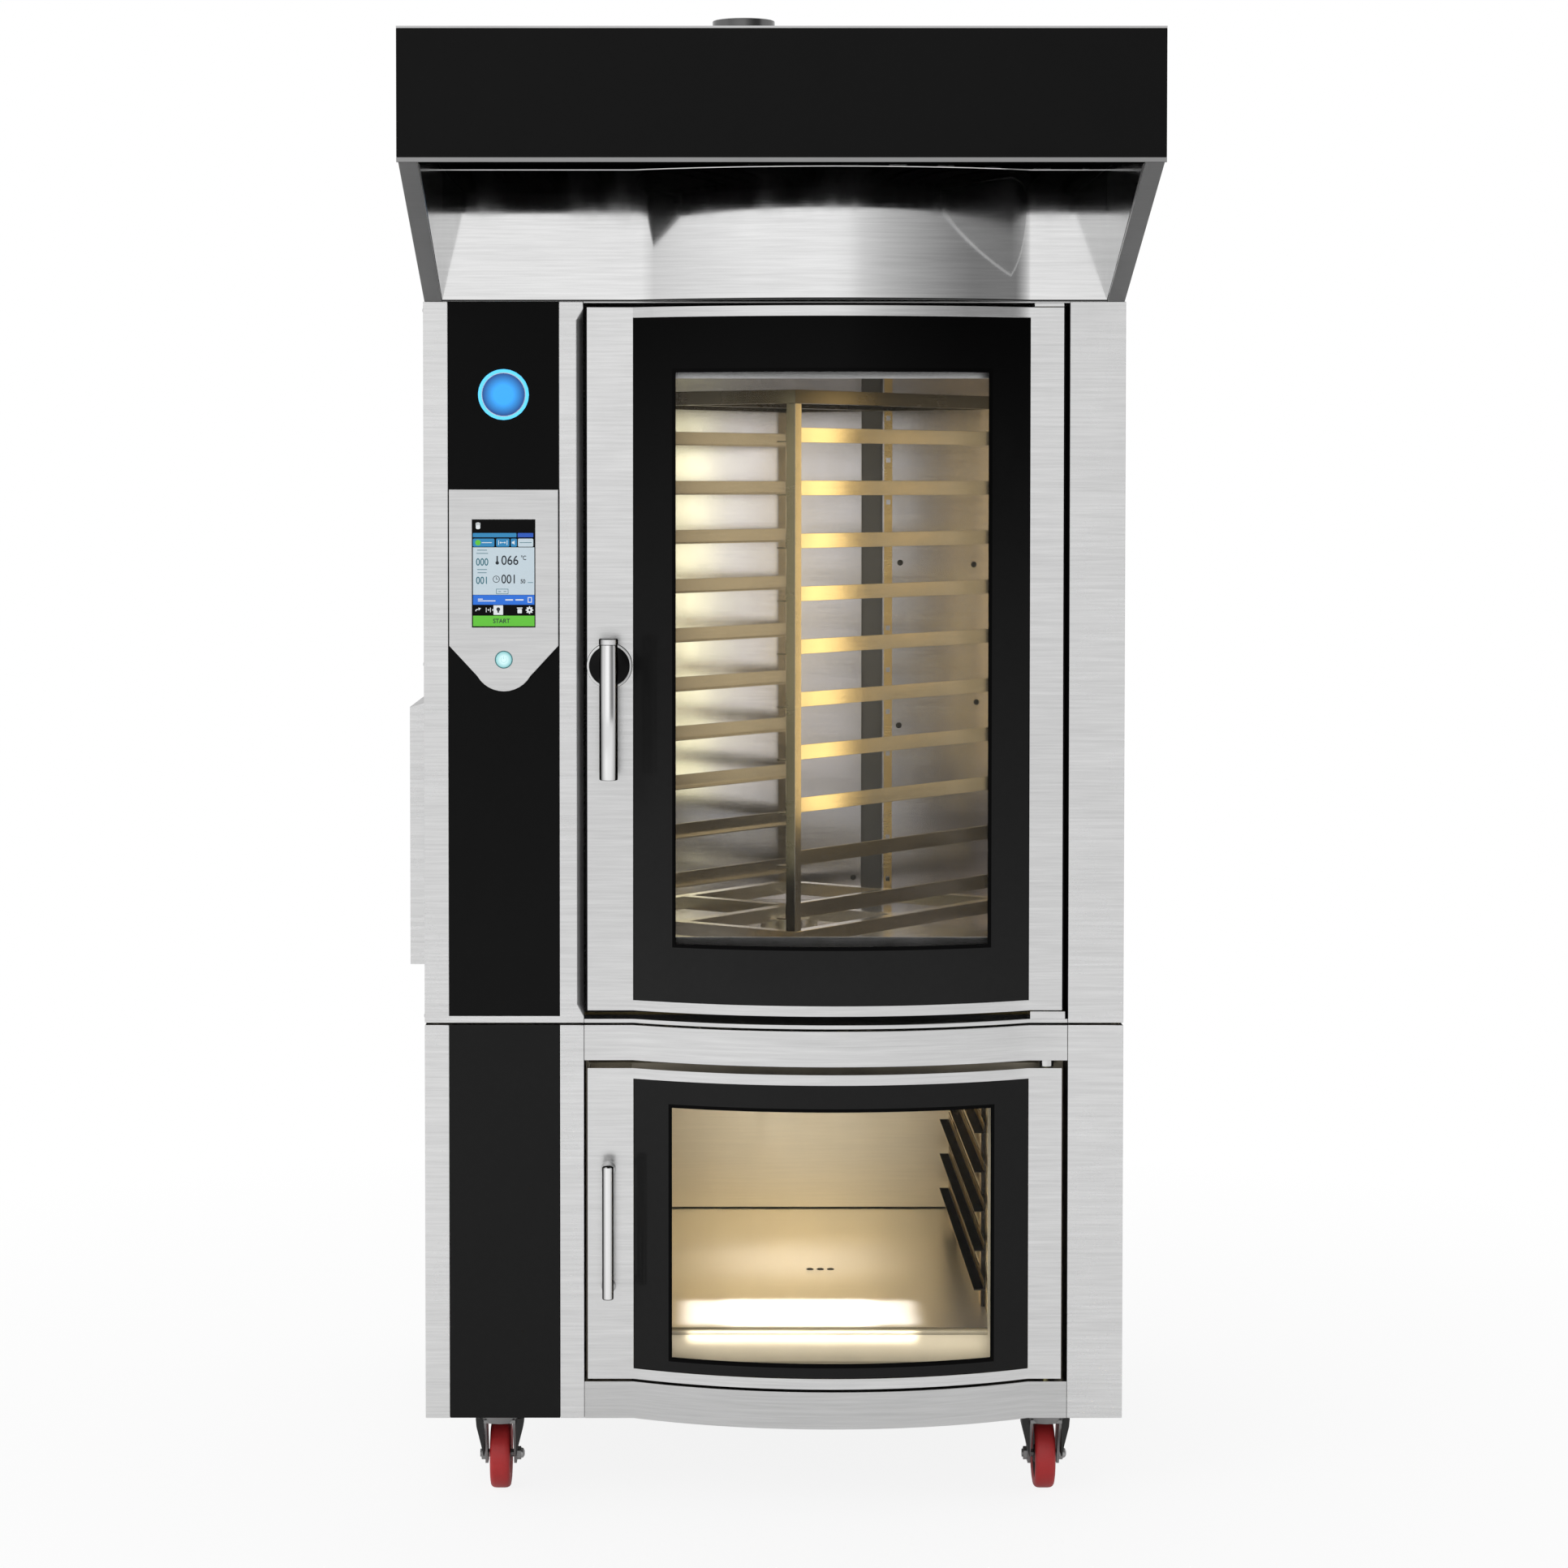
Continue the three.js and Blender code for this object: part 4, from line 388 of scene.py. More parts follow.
# a dark copy of the steel: the flue collar's dark reflection is painted into its colour
COLLAR_PAINTED_REFLECTION_STEEL = sheet_steel("collar_painted_reflection_steel", grey(0.15), 0.16)
CHAMBER_STEEL = sheet_steel("chamber_steel", (0.80, 0.78, 0.79, 1), 0.16, contrast=0.2, fineness=300.0)
RACK_STEEL = sheet_steel("rack_steel", (0.80, 0.76, 0.67, 1), 0.2, contrast=0.2)
RACK_SHADE = sheet_steel("shaded_rack_steel", (0.15, 0.14, 0.125, 1), 0.25)
# orange on the runners' sideways faces: a painted glint of the warm lamp light
RUNNER_PAINTED_GLINT = sheet_steel("runner_edge_painted_glint", (0.60, 0.44, 0.22, 1), 0.3, contrast=0.2)
PROOFER_STEEL = sheet_steel("proofer_steel", (0.86, 0.76, 0.56, 1), 0.3, contrast=0.2, fineness=420.0)
PROOFER_FLOOR = sheet_steel("proofer_floor", (0.88, 0.85, 0.80, 1), 0.3, contrast=0.2, metallic=0.75)
# pale beige on the proofer door frame's inner faces: a painted glare, which the sill lights brighten
# further
PALE_FRAME_PAINTED_GLARE = grained("pale_frame_painted_glare", (0.80, 0.70, 0.50, 1), 0.5, scale=500.0)
PERFORATED = sheet_steel("perforated_strip", (0.80, 0.60, 0.28, 1), 0.25)
# black for the real joint seals, and as a painted shadow round the lever's rosette
SEAL_AND_PAINTED_SHADOW_BLACK = grained("joint_seal_and_painted_shadow", grey(0.01), 0.6, scale=500.0)
RUNNER_STEEL = sheet_steel("runner_steel", (0.05, 0.046, 0.045, 1), 0.25, Specular_Tint=grey(0.1))
POLISHED_WITH_PAINTED_SHADE = polished_bar_with_painted_shade("polished_bar_with_painted_shade")
BRIGHT_TRIM = sheet_steel("bright_trim", grey(0.86), 0.16, contrast=0.05)
# a bright metal ring whose near-white, partly matt colour is a painted highlight
RING_PAINTED_HIGHLIGHT_STEEL = grained("ring_painted_highlight_steel", grey(0.93), 0.2, metallic=0.25, contrast=0.05)
# a darker copy of the proofer steel: painted shade on the sealing land behind the proofer's seal
LAND_PAINTED_SHADE_STEEL = sheet_steel("sealing_land_painted_shade_steel", (0.36, 0.32, 0.25, 1), 0.35)
PLATED = grained("zinc_plated", grey(0.30), 0.34, metallic=1.0, contrast=0.3)
BOLT_STEEL = grained("bolt_steel", grey(0.50), 0.28, metallic=1.0, contrast=0.2)
DARK_BOLT = grained("dark_bolt", grey(0.09), 0.4, metallic=1.0, contrast=0.3)
PIN_BRASS = grained("hinge_bush", (0.42, 0.38, 0.18, 1), 0.35, metallic=1.0, contrast=0.3)
BLACK_GLASS = gloss_panel("black_glass", grey(0.0035), specular=0.05, foot=grey(0.008), z0=0.8, z1=1.6)
LOWER_GLASS = gloss_panel("lower_black_glass", grey(0.013), specular=0.08)
DOOR_BORDER = gloss_panel("door_border", grey(0.002), specular=0.05, foot=grey(0.021), z0=0.75, z1=1.7)
LOWER_BORDER = gloss_panel("lower_door_border", grey(0.014), specular=0.1)
BORDER_EDGE = gloss_panel("door_border_edge", grey(0.002), 0.15, specular=0.04)
FASCIA_GLASS = gloss_panel("hood_fascia_glass", grey(0.006), specular=0.06)
WINDOW = clear_pane("door_window", (0.035, 0.034, 0.030, 1), 0.09)
INNER_WINDOW = clear_pane("inner_window", (0.10, 0.10, 0.09, 1), 0.04)
GASKET = grained("door_seal", grey(0.018), 0.75, scale=500.0, depth=0.1 * MM)
PALE_GASKET = grained("pale_seal", (0.62, 0.54, 0.38, 1), 0.6, scale=500.0, depth=0.1 * MM)
TYRE = grained("red_tyre", (0.52, 0.028, 0.030, 1), 0.42, contrast=0.35, scale=260.0, depth=0.08 * MM)
WHEEL_CORE = grained("wheel_core", grey(0.05), 0.5, contrast=0.4, scale=500.0)
FORK_BLACK = grained("fork_black", grey(0.012), 0.4, contrast=0.3, scale=500.0)
BLACK_PLASTIC = grained("black_plastic", grey(0.004), 0.2, scale=900.0, Specular_IOR_Level=0.1)
MOTOR_PAINT = grained("motor_paint", (0.035, 0.06, 0.11, 1), 0.45, scale=350.0, depth=0.12 * MM)
HEATER_SHEATH = grained("heater_sheath", (0.07, 0.055, 0.05, 1), 0.55, metallic=0.7, contrast=0.5)
MINERAL_WOOL = grained("mineral_wool", (0.46, 0.36, 0.17, 1), 0.95, contrast=0.8, scale=160.0,
                       depth=1.5 * MM)
# a dark copy of the steel: painted shade in the recessed channel on the chamber's rear wall
CHANNEL_PAINTED_SHADE_STEEL = sheet_steel("channel_painted_shade_steel", grey(0.16), 0.35)
LAMP_GLASS = lit("lamp_glass", (1.0, 0.86, 0.52, 1), 1.6)


# ------------------------------------------------------------------ pieces

def finish_piece(obj, body, finishes, replaced=(), smooth=35):
    """Gives a piece its finishes and its body, and hides the nodes it stands for."""
    for finish in finishes:
        obj.data.materials.append(finish)
    if obj.type == "MESH":
        obj.data.shade_smooth()
        obj.data.set_sharp_from_angle(angle=math.radians(smooth))
    bpy.context.scene.collection.objects.link(obj)
    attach(obj, body)
    if replaced:
        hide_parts(*replaced)
    return obj


def from_bmesh(name, work):
    """An object from a bmesh, which is freed."""
    bmesh.ops.recalc_face_normals(work, faces=work.faces)
    mesh = bpy.data.meshes.new(name)
    work.to_mesh(mesh)
    work.free()
    return bpy.data.objects.new(name, mesh)


def round_edges(obj, width, segments=2, angle=30):
    """Rounds a piece's edges and keeps its flat faces level in shading."""
    edges = obj.modifiers.new("rounded edges", "BEVEL")
    edges.width = width
    edges.segments = segments
    edges.limit_method = "ANGLE"
    edges.angle_limit = math.radians(angle)
    level = obj.modifiers.new("level faces", "WEIGHTED_NORMAL")
    level.keep_sharp = True
    level.weight = 100
    return obj


def dress(node, finish, width=0.5 * MM, segments=2, angle=30, second=None, where=None, smooth=35):
    """The sheet metal or moulding of a node with its edges rounded, standing for the node.

    Faces for which where(centre, normal) holds get the second finish.
    """
    source = frame["nodes"][node]
    work = bmesh.new()
    work.from_mesh(source.data)
    bmesh.ops.remove_doubles(work, verts=work.verts, dist=1e-6)
    bmesh.ops.dissolve_limit(work, angle_limit=math.radians(0.5), verts=work.verts, edges=work.edges)
    bmesh.ops.recalc_face_normals(work, faces=work.faces)
    for face in work.faces:
        if second and where(face.calc_center_median(), face.normal):
            face.material_index = 1
    obj = from_bmesh(node + ".finished", work)
    finishes = [finish, second] if second else [finish]
    finish_piece(obj, source["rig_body"], finishes, [node], smooth)
    return round_edges(obj, width, segments, angle)


def recoat(obj, finish, where):
    """A further finish for the faces where where(centre, normal) holds."""
    obj.data.materials.append(finish)
    for face in obj.data.polygons:
        if where(face.center, face.normal):
            face.material_index = len(obj.data.materials) - 1


def paint(node, finish):
    """Gives a node that keeps its own mesh its finish."""
    mesh = frame["nodes"][node].data
    mesh.materials.clear()
    mesh.materials.append(finish)


def box_mesh(work, x0, x1, y0, y1, z0, z1):
    """Adds a box between the given planes."""
    made = bmesh.ops.create_cube(work, size=1.0)
    for vert in made["verts"]:
        vert.co.x = x0 if vert.co.x < 0 else x1
        vert.co.y = y0 if vert.co.y < 0 else y1
        vert.co.z = z0 if vert.co.z < 0 else z1


def prism(work, near, far):
    """Adds a closed solid between two matching outlines of points."""
    ends = [[work.verts.new(point) for point in outline] for outline in (near, far)]
    for end in ends:
        work.faces.new(end)
    for k in range(len(near)):
        n = (k + 1) % len(near)
        work.faces.new((ends[0][k], ends[0][n], ends[1][n], ends[1][k]))


def turned(name, profile, place, axis, steps=64):
    """A piece turned on a lathe: profile of (radius, height) along the axis from the place."""
    work = bmesh.new()
    rings = []
    for radius, height in profile:
        if radius < 1e-7:
            rings.append([work.verts.new((0, 0, height))])
            continue
        rings.append([work.verts.new((radius * math.cos(2 * math.pi * i / steps),
                                      radius * math.sin(2 * math.pi * i / steps), height))
                      for i in range(steps)])
    for lower, upper in zip(rings, rings[1:]):
        for i in range(steps):
            j = (i + 1) % steps
            corners = [lower[i % len(lower)], lower[j % len(lower)],
                       upper[j % len(upper)], upper[i % len(upper)]]
            distinct = list(dict.fromkeys(corners))
            if len(distinct) > 2:
                work.faces.new(distinct)
    bmesh.ops.remove_doubles(work, verts=work.verts, dist=1e-7)
    turn = Vector((0, 0, 1)).rotation_difference(Vector(axis)).to_matrix().to_4x4()
    bmesh.ops.transform(work, matrix=turn, verts=work.verts)
    bmesh.ops.translate(work, vec=Vector(place), verts=work.verts)
    return from_bmesh(name, work)


def add_screws(name, places, axis, body, finish=BOLT_STEEL, radius=3.2 * MM):
    """Domed screw heads with a hexagon recess, seated at the places and facing along the axis."""
    work = bmesh.new()
    turn = Vector((0, 0, 1)).rotation_difference(Vector(axis)).to_matrix().to_4x4()
    profile = [(1.0, 0.0), (1.0, 0.12), (0.86, 0.34), (0.55, 0.46)]
    recess, recess_height = 0.48, 0.14
    steps = 18
    for place in places:
        start = len(work.verts)
        rings = []
        for share, height in profile:
            rings.append([work.verts.new((share * radius * math.cos(math.tau * i / steps),
                                          share * radius * math.sin(math.tau * i / steps),
                                          height * radius)) for i in range(steps)])
        rings.append([work.verts.new((recess * radius * math.cos(math.tau * (i // 3) / 6),
                                      recess * radius * math.sin(math.tau * (i // 3) / 6),
                                      recess_height * radius)) for i in range(steps)])
        for lower, upper in zip(rings, rings[1:]):
            for i in range(steps):
                j = (i + 1) % steps
                work.faces.new((lower[i], lower[j], upper[j], upper[i]))
        work.faces.new(rings[-1])
        work.verts.ensure_lookup_table()
        made = work.verts[start:]
        bmesh.ops.transform(work, matrix=turn, verts=made)
        bmesh.ops.translate(work, vec=Vector(place), verts=made)
    bmesh.ops.remove_doubles(work, verts=work.verts, dist=1e-7)
    return finish_piece(from_bmesh(name, work), body, [finish])


# ------------------------------------------------------------------ steel that shows outside

def in_gap(centre, normal):
    """Sheet that faces sideways into the gaps beside the doors, which is painted near-black as shade."""
    corner = 40 * MM
    left, right = low("upper_column").x + corner, high("upper_hinge_column").x - corner
    return left <= centre.x <= right and abs(normal.x) > 0.9 and centre.y > FLAT_FRONT + 12 * MM


def on_bevel(centre, normal):
    """The slanted edge of the control column beside the upper door, which is painted darker as shade."""
    return 0.3 < normal.x < 0.9


def dress_cabinet():
    """Columns, curved sheets, casings, side box, hinge blocks and black panels."""
    dress("upper_column", STEEL, 0.9 * MM, second=BEVEL_PAINTED_SHADE_STEEL, where=on_bevel)
    for node in ("lower_column", "upper_hinge_column", "lower_hinge_column"):
        dress(node, STEEL, 0.9 * MM, second=PAINTED_SHADE_STEEL, where=in_gap)
    for node, finish in (("plinth", PLINTH_PAINTED_SHADE_STEEL), ("mid_beam", CURVED_STEEL),
                         ("door_sill", CURVED_STEEL)):
        dress(node, finish, 0.8 * MM, second=PIN_BRASS, where=on_hinge_pin,
              smooth=CREASE)
    for node in ("oven_casing", "proofer_casing"):
        dress(node, SIDE_STEEL)
    # the side box's top is painted darker as shade
    dress("side_box", STEEL, 1.0 * MM, second=LIP_PAINTED_SHADE_STEEL,
          where=lambda centre, normal: normal.z > 0.9)
    add_side_box_seal()
    for node in ("oven_hinge_bottom", "oven_hinge_top"):
        dress(node, STEEL, 0.6 * MM, second=PIN_BRASS, where=on_hinge_pin)
    dress("column_glass", BLACK_GLASS, 0.6 * MM)
    dress("lower_black_panel", LOWER_GLASS, 0.6 * MM)
    dress("chassis", PLATED, 0.4 * MM)
    dress("cable_gland", BLACK_PLASTIC, 0.4 * MM)


def add_side_box_seal():
    """Thin dark seal between the motor cover and the casing, standing a little proud all round."""
    a, b = low("side_box"), high("side_box")
    proud, sheet = 0.6 * MM, 2.0 * MM
    work = bmesh.new()
    corners = [(a.y - proud, a.z - proud), (b.y + proud, a.z - proud), (b.y + proud, b.z + proud),
               (a.y - proud, b.z + proud)]
    holes = [(a.y + sheet, a.z + sheet), (b.y - sheet, a.z + sheet), (b.y - sheet, b.z - sheet),
             (a.y + sheet, b.z - sheet)]
    x0, x1 = b.x - 2.0 * MM, b.x + FIT
    rings = [[work.verts.new((x, y, z)) for y, z in loop] for x in (x0, x1) for loop in (corners, holes)]
    near_out, near_in, far_out, far_in = rings
    for k in range(4):
        n = (k + 1) % 4
        work.faces.new((near_out[k], near_out[n], near_in[n], near_in[k]))
        work.faces.new((far_out[k], far_out[n], far_in[n], far_in[k]))
        work.faces.new((near_out[k], near_out[n], far_out[n], far_out[k]))
        work.faces.new((near_in[k], near_in[n], far_in[n], far_in[k]))
    seal = finish_piece(from_bmesh("side_box_seal", work), "root", [SEAL_AND_PAINTED_SHADOW_BLACK])
    round_edges(seal, 0.2 * MM)


def on_hinge_pin(centre, normal):
    """Faces of the pins on the doors' hinge axis."""
    axis = JOINTS["oven_door_hinge"]["pos_m"]
    return math.hypot(centre.x - axis[0], centre.y - axis[1]) < PIN_RADIUS


def curved_strip(name, z0, z1, proud, body, finish, x0, x1):
    """Thin strip along the shared curve, rounded in section, standing proud of the hood wall."""
    work = bmesh.new()
    xs = [x0] + [CURVE_LEFT + (CURVE_RIGHT - CURVE_LEFT) * i / 36 for i in range(37)] + [x1]
    middle, half = (z0 + z1) / 2, (z1 - z0) / 2
    section = [(0.0, z0), (0.7, middle - half * 0.7), (1.0, middle), (0.7, middle + half * 0.7), (0.0, z1)]
    rows = []
    for x in xs:
        y = arc_y(x) if CURVE_LEFT <= x <= CURVE_RIGHT else FLAT_FRONT
        rows.append([work.verts.new((x, y - share * proud, z)) for share, z in section])
        rows[-1].append(work.verts.new((x, y + 0.2 * MM, middle)))
    for left, right in zip(rows, rows[1:]):
        for k in range(len(left)):
            n = (k + 1) % len(left)
            work.faces.new((left[k], left[n], right[n], right[k]))
    work.faces.new(rows[0])
    work.faces.new(rows[-1])
    return finish_piece(from_bmesh(name, work), body, [finish])


def dress_hood_side(node, inward):
    """A hood side panel with painted shade on its sloping edge, its inner lining painted dark as shade, and
    the strip that closes it.
    """
    dress(node, SIDE_STEEL, second=HOOD_EDGE_PAINTED_SHADE,
          where=lambda centre, normal: normal.y < -0.2 and normal.z < -0.2)
    a, b = low(node), high(node)
    add_cheek(node + "_painted_shade_lining", b.x if inward > 0 else a.x, inward)
    wall, depth = 2.2 * MM, 10 * MM
    work = bmesh.new()
    strip_box(work, a.x + wall, b.x - wall, b.y - depth, b.y, a.z + wall, b.z - wall, 0.8 * MM)
    cap = finish_piece(from_bmesh(node + "_end_cap", work), "root", [SIDE_STEEL])
    round_edges(cap, 0.2 * MM)


def dress_hood():
    """Side panels, the inside and the filter painted black as shade, curved wall, fascia and the collar,
    whose dark reflection is painted.
    """
    dress_hood_side("hood_left_side", 1)
    dress_hood_side("hood_right_side", -1)
    lip = low("hood_fascia").z

    def inside_mouth(centre, normal):
        if centre.y >= FLAT_FRONT:
            return False
        at_lip = abs(normal.z) > 0.5 and abs(centre.z - lip) < 1 * MM
        return normal.y > 0.5 or normal.z < -0.5 or at_lip

    def on_lip(centre, normal):
        return normal.y < -0.9 and centre.z < lip + 1 * MM and centre.y < FLAT_FRONT

    shell = dress("hood_shell", SIDE_STEEL, 0.8 * MM, second=HOOD_PAINTED_SHADE_BLACK,
                  where=inside_mouth)
    # the lip's front faces are painted darker as shade
    recoat(shell, LIP_PAINTED_SHADE_STEEL, on_lip)
    dress("hood_back_wall", HOOD_WALL_STEEL, 0.4 * MM, smooth=CREASE)
    dress("hood_fascia", FASCIA_GLASS, 0.8 * MM)
    dress("grease_filter", HOOD_PAINTED_SHADE_BLACK, 0.3 * MM)
    dress("flue_collar", COLLAR_PAINTED_REFLECTION_STEEL, 0.4 * MM)
    wall_low, wall_high = low("hood_back_wall"), high("hood_back_wall")
    curved_strip("hood_wall_bead", wall_high.z - 3.2 * MM, wall_high.z - 1.2 * MM, 1.2 * MM, "root",
                 BRIGHT_TRIM, wall_low.x, wall_high.x)
    curved_strip("hood_wall_seal", wall_low.z + 0.2 * MM, wall_low.z + 2.6 * MM, 0.6 * MM, "root",
                 SEAL_AND_PAINTED_SHADOW_BLACK, wall_low.x, wall_high.x)


def add_cheek(name, x, inward):
    """Lining sheet painted dark as shade on the inner face of a hood side panel, folded back at its sloping
    edge.
    """
    front, lip = low("hood_fascia").y, low("hood_fascia").z
    foot = low("hood_back_wall").z
    slope = (FLAT_FRONT - front) / (lip - foot)
    inset, behind_fascia = 5 * MM, 8 * MM
    gap, sheet = 0.05 * MM, 0.8 * MM
    top = low("grease_filter").z - FIT
    outline = [(FLAT_FRONT - inset, foot + 4 * MM), (FLAT_FRONT, foot + 4 * MM), (FLAT_FRONT, top),
               (front + behind_fascia, top), (front + behind_fascia, lip + 2 * MM),
               (FLAT_FRONT - slope * (lip - foot) + inset + behind_fascia, lip)]
    work = bmesh.new()
    prism(work, *[[(x + inward * offset, y, z) for y, z in outline] for offset in (gap, sheet)])
    finish_piece(from_bmesh(name, work), "root", [HOOD_CHEEK_PAINTED_SHADE])


def add_casing_screws():
    """Screw rows along the side and rear panels, and on the hood's side panels."""
    inset = 12 * MM
    for part, node in (("upper", "oven_casing"), ("lower", "proofer_casing")):
        a, b = low(node), high(node)
        rows = [a.z + inset, (a.z + b.z) / 2, b.z - inset]
        spots = [(a.x, y, z) for y in (a.y + inset, b.y - inset) for z in rows]
        add_screws(part + "_left_screws", spots, (-1, 0, 0), "root")
        columns = [a.x + inset + (b.x - a.x - 2 * inset) * k / 4 for k in range(5)]
        spots = [(x, b.y, z) for x in columns for z in (a.z + inset, b.z - inset)]
        add_screws(part + "_rear_screws", spots, (0, 1, 0), "root")
    first, pitch = 0.03, 0.14
    for side, x, axis in (("left", low("hood_left_side").x, (-1, 0, 0)),
                          ("right", high("hood_right_side").x, (1, 0, 0))):
        z = low("hood_left_side").z + inset
        spots = [(x, FLAT_FRONT + (first + pitch * k), z) for k in range(4)]
        add_screws("hood_" + side + "_screws", spots, axis, "root")


# ------------------------------------------------------------------ doors

PANE_THICKNESS = 6 * MM
PANE_INSET = 0.5 * MM
BORDER_BAND = 5 * MM                # darker band round the window


def curved_pane(name, node, head_margin, foot_margin, side_margin, body, border):
    """Curved glass with its painted border, a darker band and the clear window."""
    z0, z1 = low(node).z, high(node).z
    window_left = CURVE_LEFT + side_margin
    window_right = CURVE_RIGHT - side_margin
    wz0, wz1 = z0 + foot_margin, z1 - head_margin
    band = BORDER_BAND
    steps = 40
    inner_xs = [window_left + (window_right - window_left) * i / steps for i in range(steps + 1)]
    side_steps = 5
    edge = low(node).x
    left_xs = [edge + (window_left - band - edge) * i / side_steps for i in range(side_steps + 1)]
    xs = left_xs + inner_xs + [2 * CURVE_MID - x for x in reversed(left_xs)]
    zs = [z0, wz0 - band, wz0, wz1, wz1 + band, z1]
    work = bmesh.new()
    grids = []
    for inset in (PANE_INSET, PANE_INSET + PANE_THICKNESS):
        grids.append([[work.verts.new((x, arc_y(x, inset), z)) for z in zs] for x in xs])
    for grid in grids:
        for i in range(len(xs) - 1):
            for k in range(len(zs) - 1):
                face = work.faces.new((grid[i][k], grid[i + 1][k], grid[i + 1][k + 1], grid[i][k + 1]))
                x = (xs[i] + xs[i + 1]) / 2
                z = (zs[k] + zs[k + 1]) / 2
                if window_left < x < window_right and wz0 < z < wz1:
                    face.material_index = 2
                elif window_left - band < x < window_right + band and wz0 - band < z < wz1 + band:
                    face.material_index = 1
    front, back = grids
    last_x, last_z = len(xs) - 1, len(zs) - 1
    for i in range(last_x):
        for k in (0, last_z):
            work.faces.new((front[i][k], front[i + 1][k], back[i + 1][k], back[i][k]))
    for k in range(last_z):
        for i in (0, last_x):
            work.faces.new((front[i][k], front[i][k + 1], back[i][k + 1], back[i][k]))
    obj = from_bmesh(name, work)
    finish_piece(obj, body, [border, BORDER_EDGE, WINDOW], [node])
    return round_edges(obj, 1.2 * MM, 2, 60)


def make_doors():
    """Both door frames, their panes, the inner glass and the seals."""
    # the doors' free edges are painted near-black as shade
    def door_side(centre, normal):
        return abs(normal.x) > 0.9 and not CURVE_LEFT < centre.x < CURVE_RIGHT

    # the proofer frame's inner faces get the pale painted glare
    def inner_frame(centre, normal):
        return normal.y < -0.9 and centre.y > FLAT_FRONT + 30 * MM

    for node in ("oven_door_frame", "proofer_door_frame"):
        door = dress(node, CURVED_STEEL, 0.8 * MM, second=PAINTED_SHADE_STEEL, where=door_side,
                     smooth=CREASE)
        if node == "proofer_door_frame":
            recoat(door, PALE_FRAME_PAINTED_GLARE, inner_frame)
    curved_pane("oven_pane", "oven_door_glass", 78 * MM, 83 * MM, 61 * MM, "oven_door", DOOR_BORDER)
    curved_pane("proofer_pane", "proofer_door_glass", 38 * MM, 20 * MM, 55.5 * MM, "proofer_door",
                LOWER_BORDER)
    dress("oven_door_inner_glass", INNER_WINDOW, 0.5 * MM)
    dress("oven_gasket", GASKET, 2 * MM, 3)
    dress("proofer_gasket", PALE_GASKET, 2 * MM, 3)


def make_lever():
    """Round bar with a cap, its neck through the rosette and the cam behind the door."""
    a, b = low("door_lever"), high("door_lever")
    pivot = Vector(JOINTS["door_lever_turn"]["pos_m"])
    bar_y = a.y + (b.x - a.x) / 2
    radius, cap_radius, cap = 13 * MM, (b.x - a.x) / 2, 9 * MM
    bar = turned("lever_bar", [
        (0, 0), (radius - 1.5 * MM, 0), (radius - 0.4 * MM, 0.5 * MM), (radius, 1.6 * MM),
        (radius, b.z - a.z - cap - 0.8 * MM), (radius - 0.5 * MM, b.z - a.z - cap),
        (cap_radius, b.z - a.z - cap + 0.6 * MM), (cap_radius, b.z - a.z - 1.4 * MM),
        (cap_radius - 1.4 * MM, b.z - a.z), (0, b.z - a.z)], (pivot.x, bar_y, a.z), (0, 0, 1), 96)
    finish_piece(bar, "door_lever", [POLISHED_WITH_PAINTED_SHADE], ["door_lever"])
    face = low("lever_rosette").y
    neck = turned("lever_neck", [
        (0, 0), (9 * MM, 0), (9 * MM, 40 * MM), (10 * MM, 43 * MM), (10 * MM, face - bar_y - FIT),
        (0, face - bar_y - FIT)], (pivot.x, bar_y, pivot.z), (0, 1, 0), 48)
    finish_piece(neck, "door_lever", [POLISHED_WITH_PAINTED_SHADE])
    spindle = turned("lever_spindle", [
        (0, 0), (5.4 * MM, 0), (6 * MM, 0.6 * MM), (6 * MM, b.y - face - 8 * MM), (0, b.y - face - 8 * MM)],
        (pivot.x, face - FIT, pivot.z), (0, 1, 0), 24)
    finish_piece(spindle, "door_lever", [BOLT_STEEL])
    work = bmesh.new()
    half, thick, reach = 8 * MM, 7 * MM, 22 * MM
    points = [(half * math.cos(math.radians(15 * k)), half * math.sin(math.radians(15 * k)))
              for k in range(13)] + [(-half, -reach + 2 * MM), (-half + 2 * MM, -reach),
                                     (half - 2 * MM, -reach), (half, -reach + 2 * MM)]
    prism(work, *[[(pivot.x + x, y, pivot.z + z) for x, z in points] for y in (b.y - thick, b.y)])
    finish_piece(from_bmesh("lever_cam", work), "door_lever", [BOLT_STEEL])


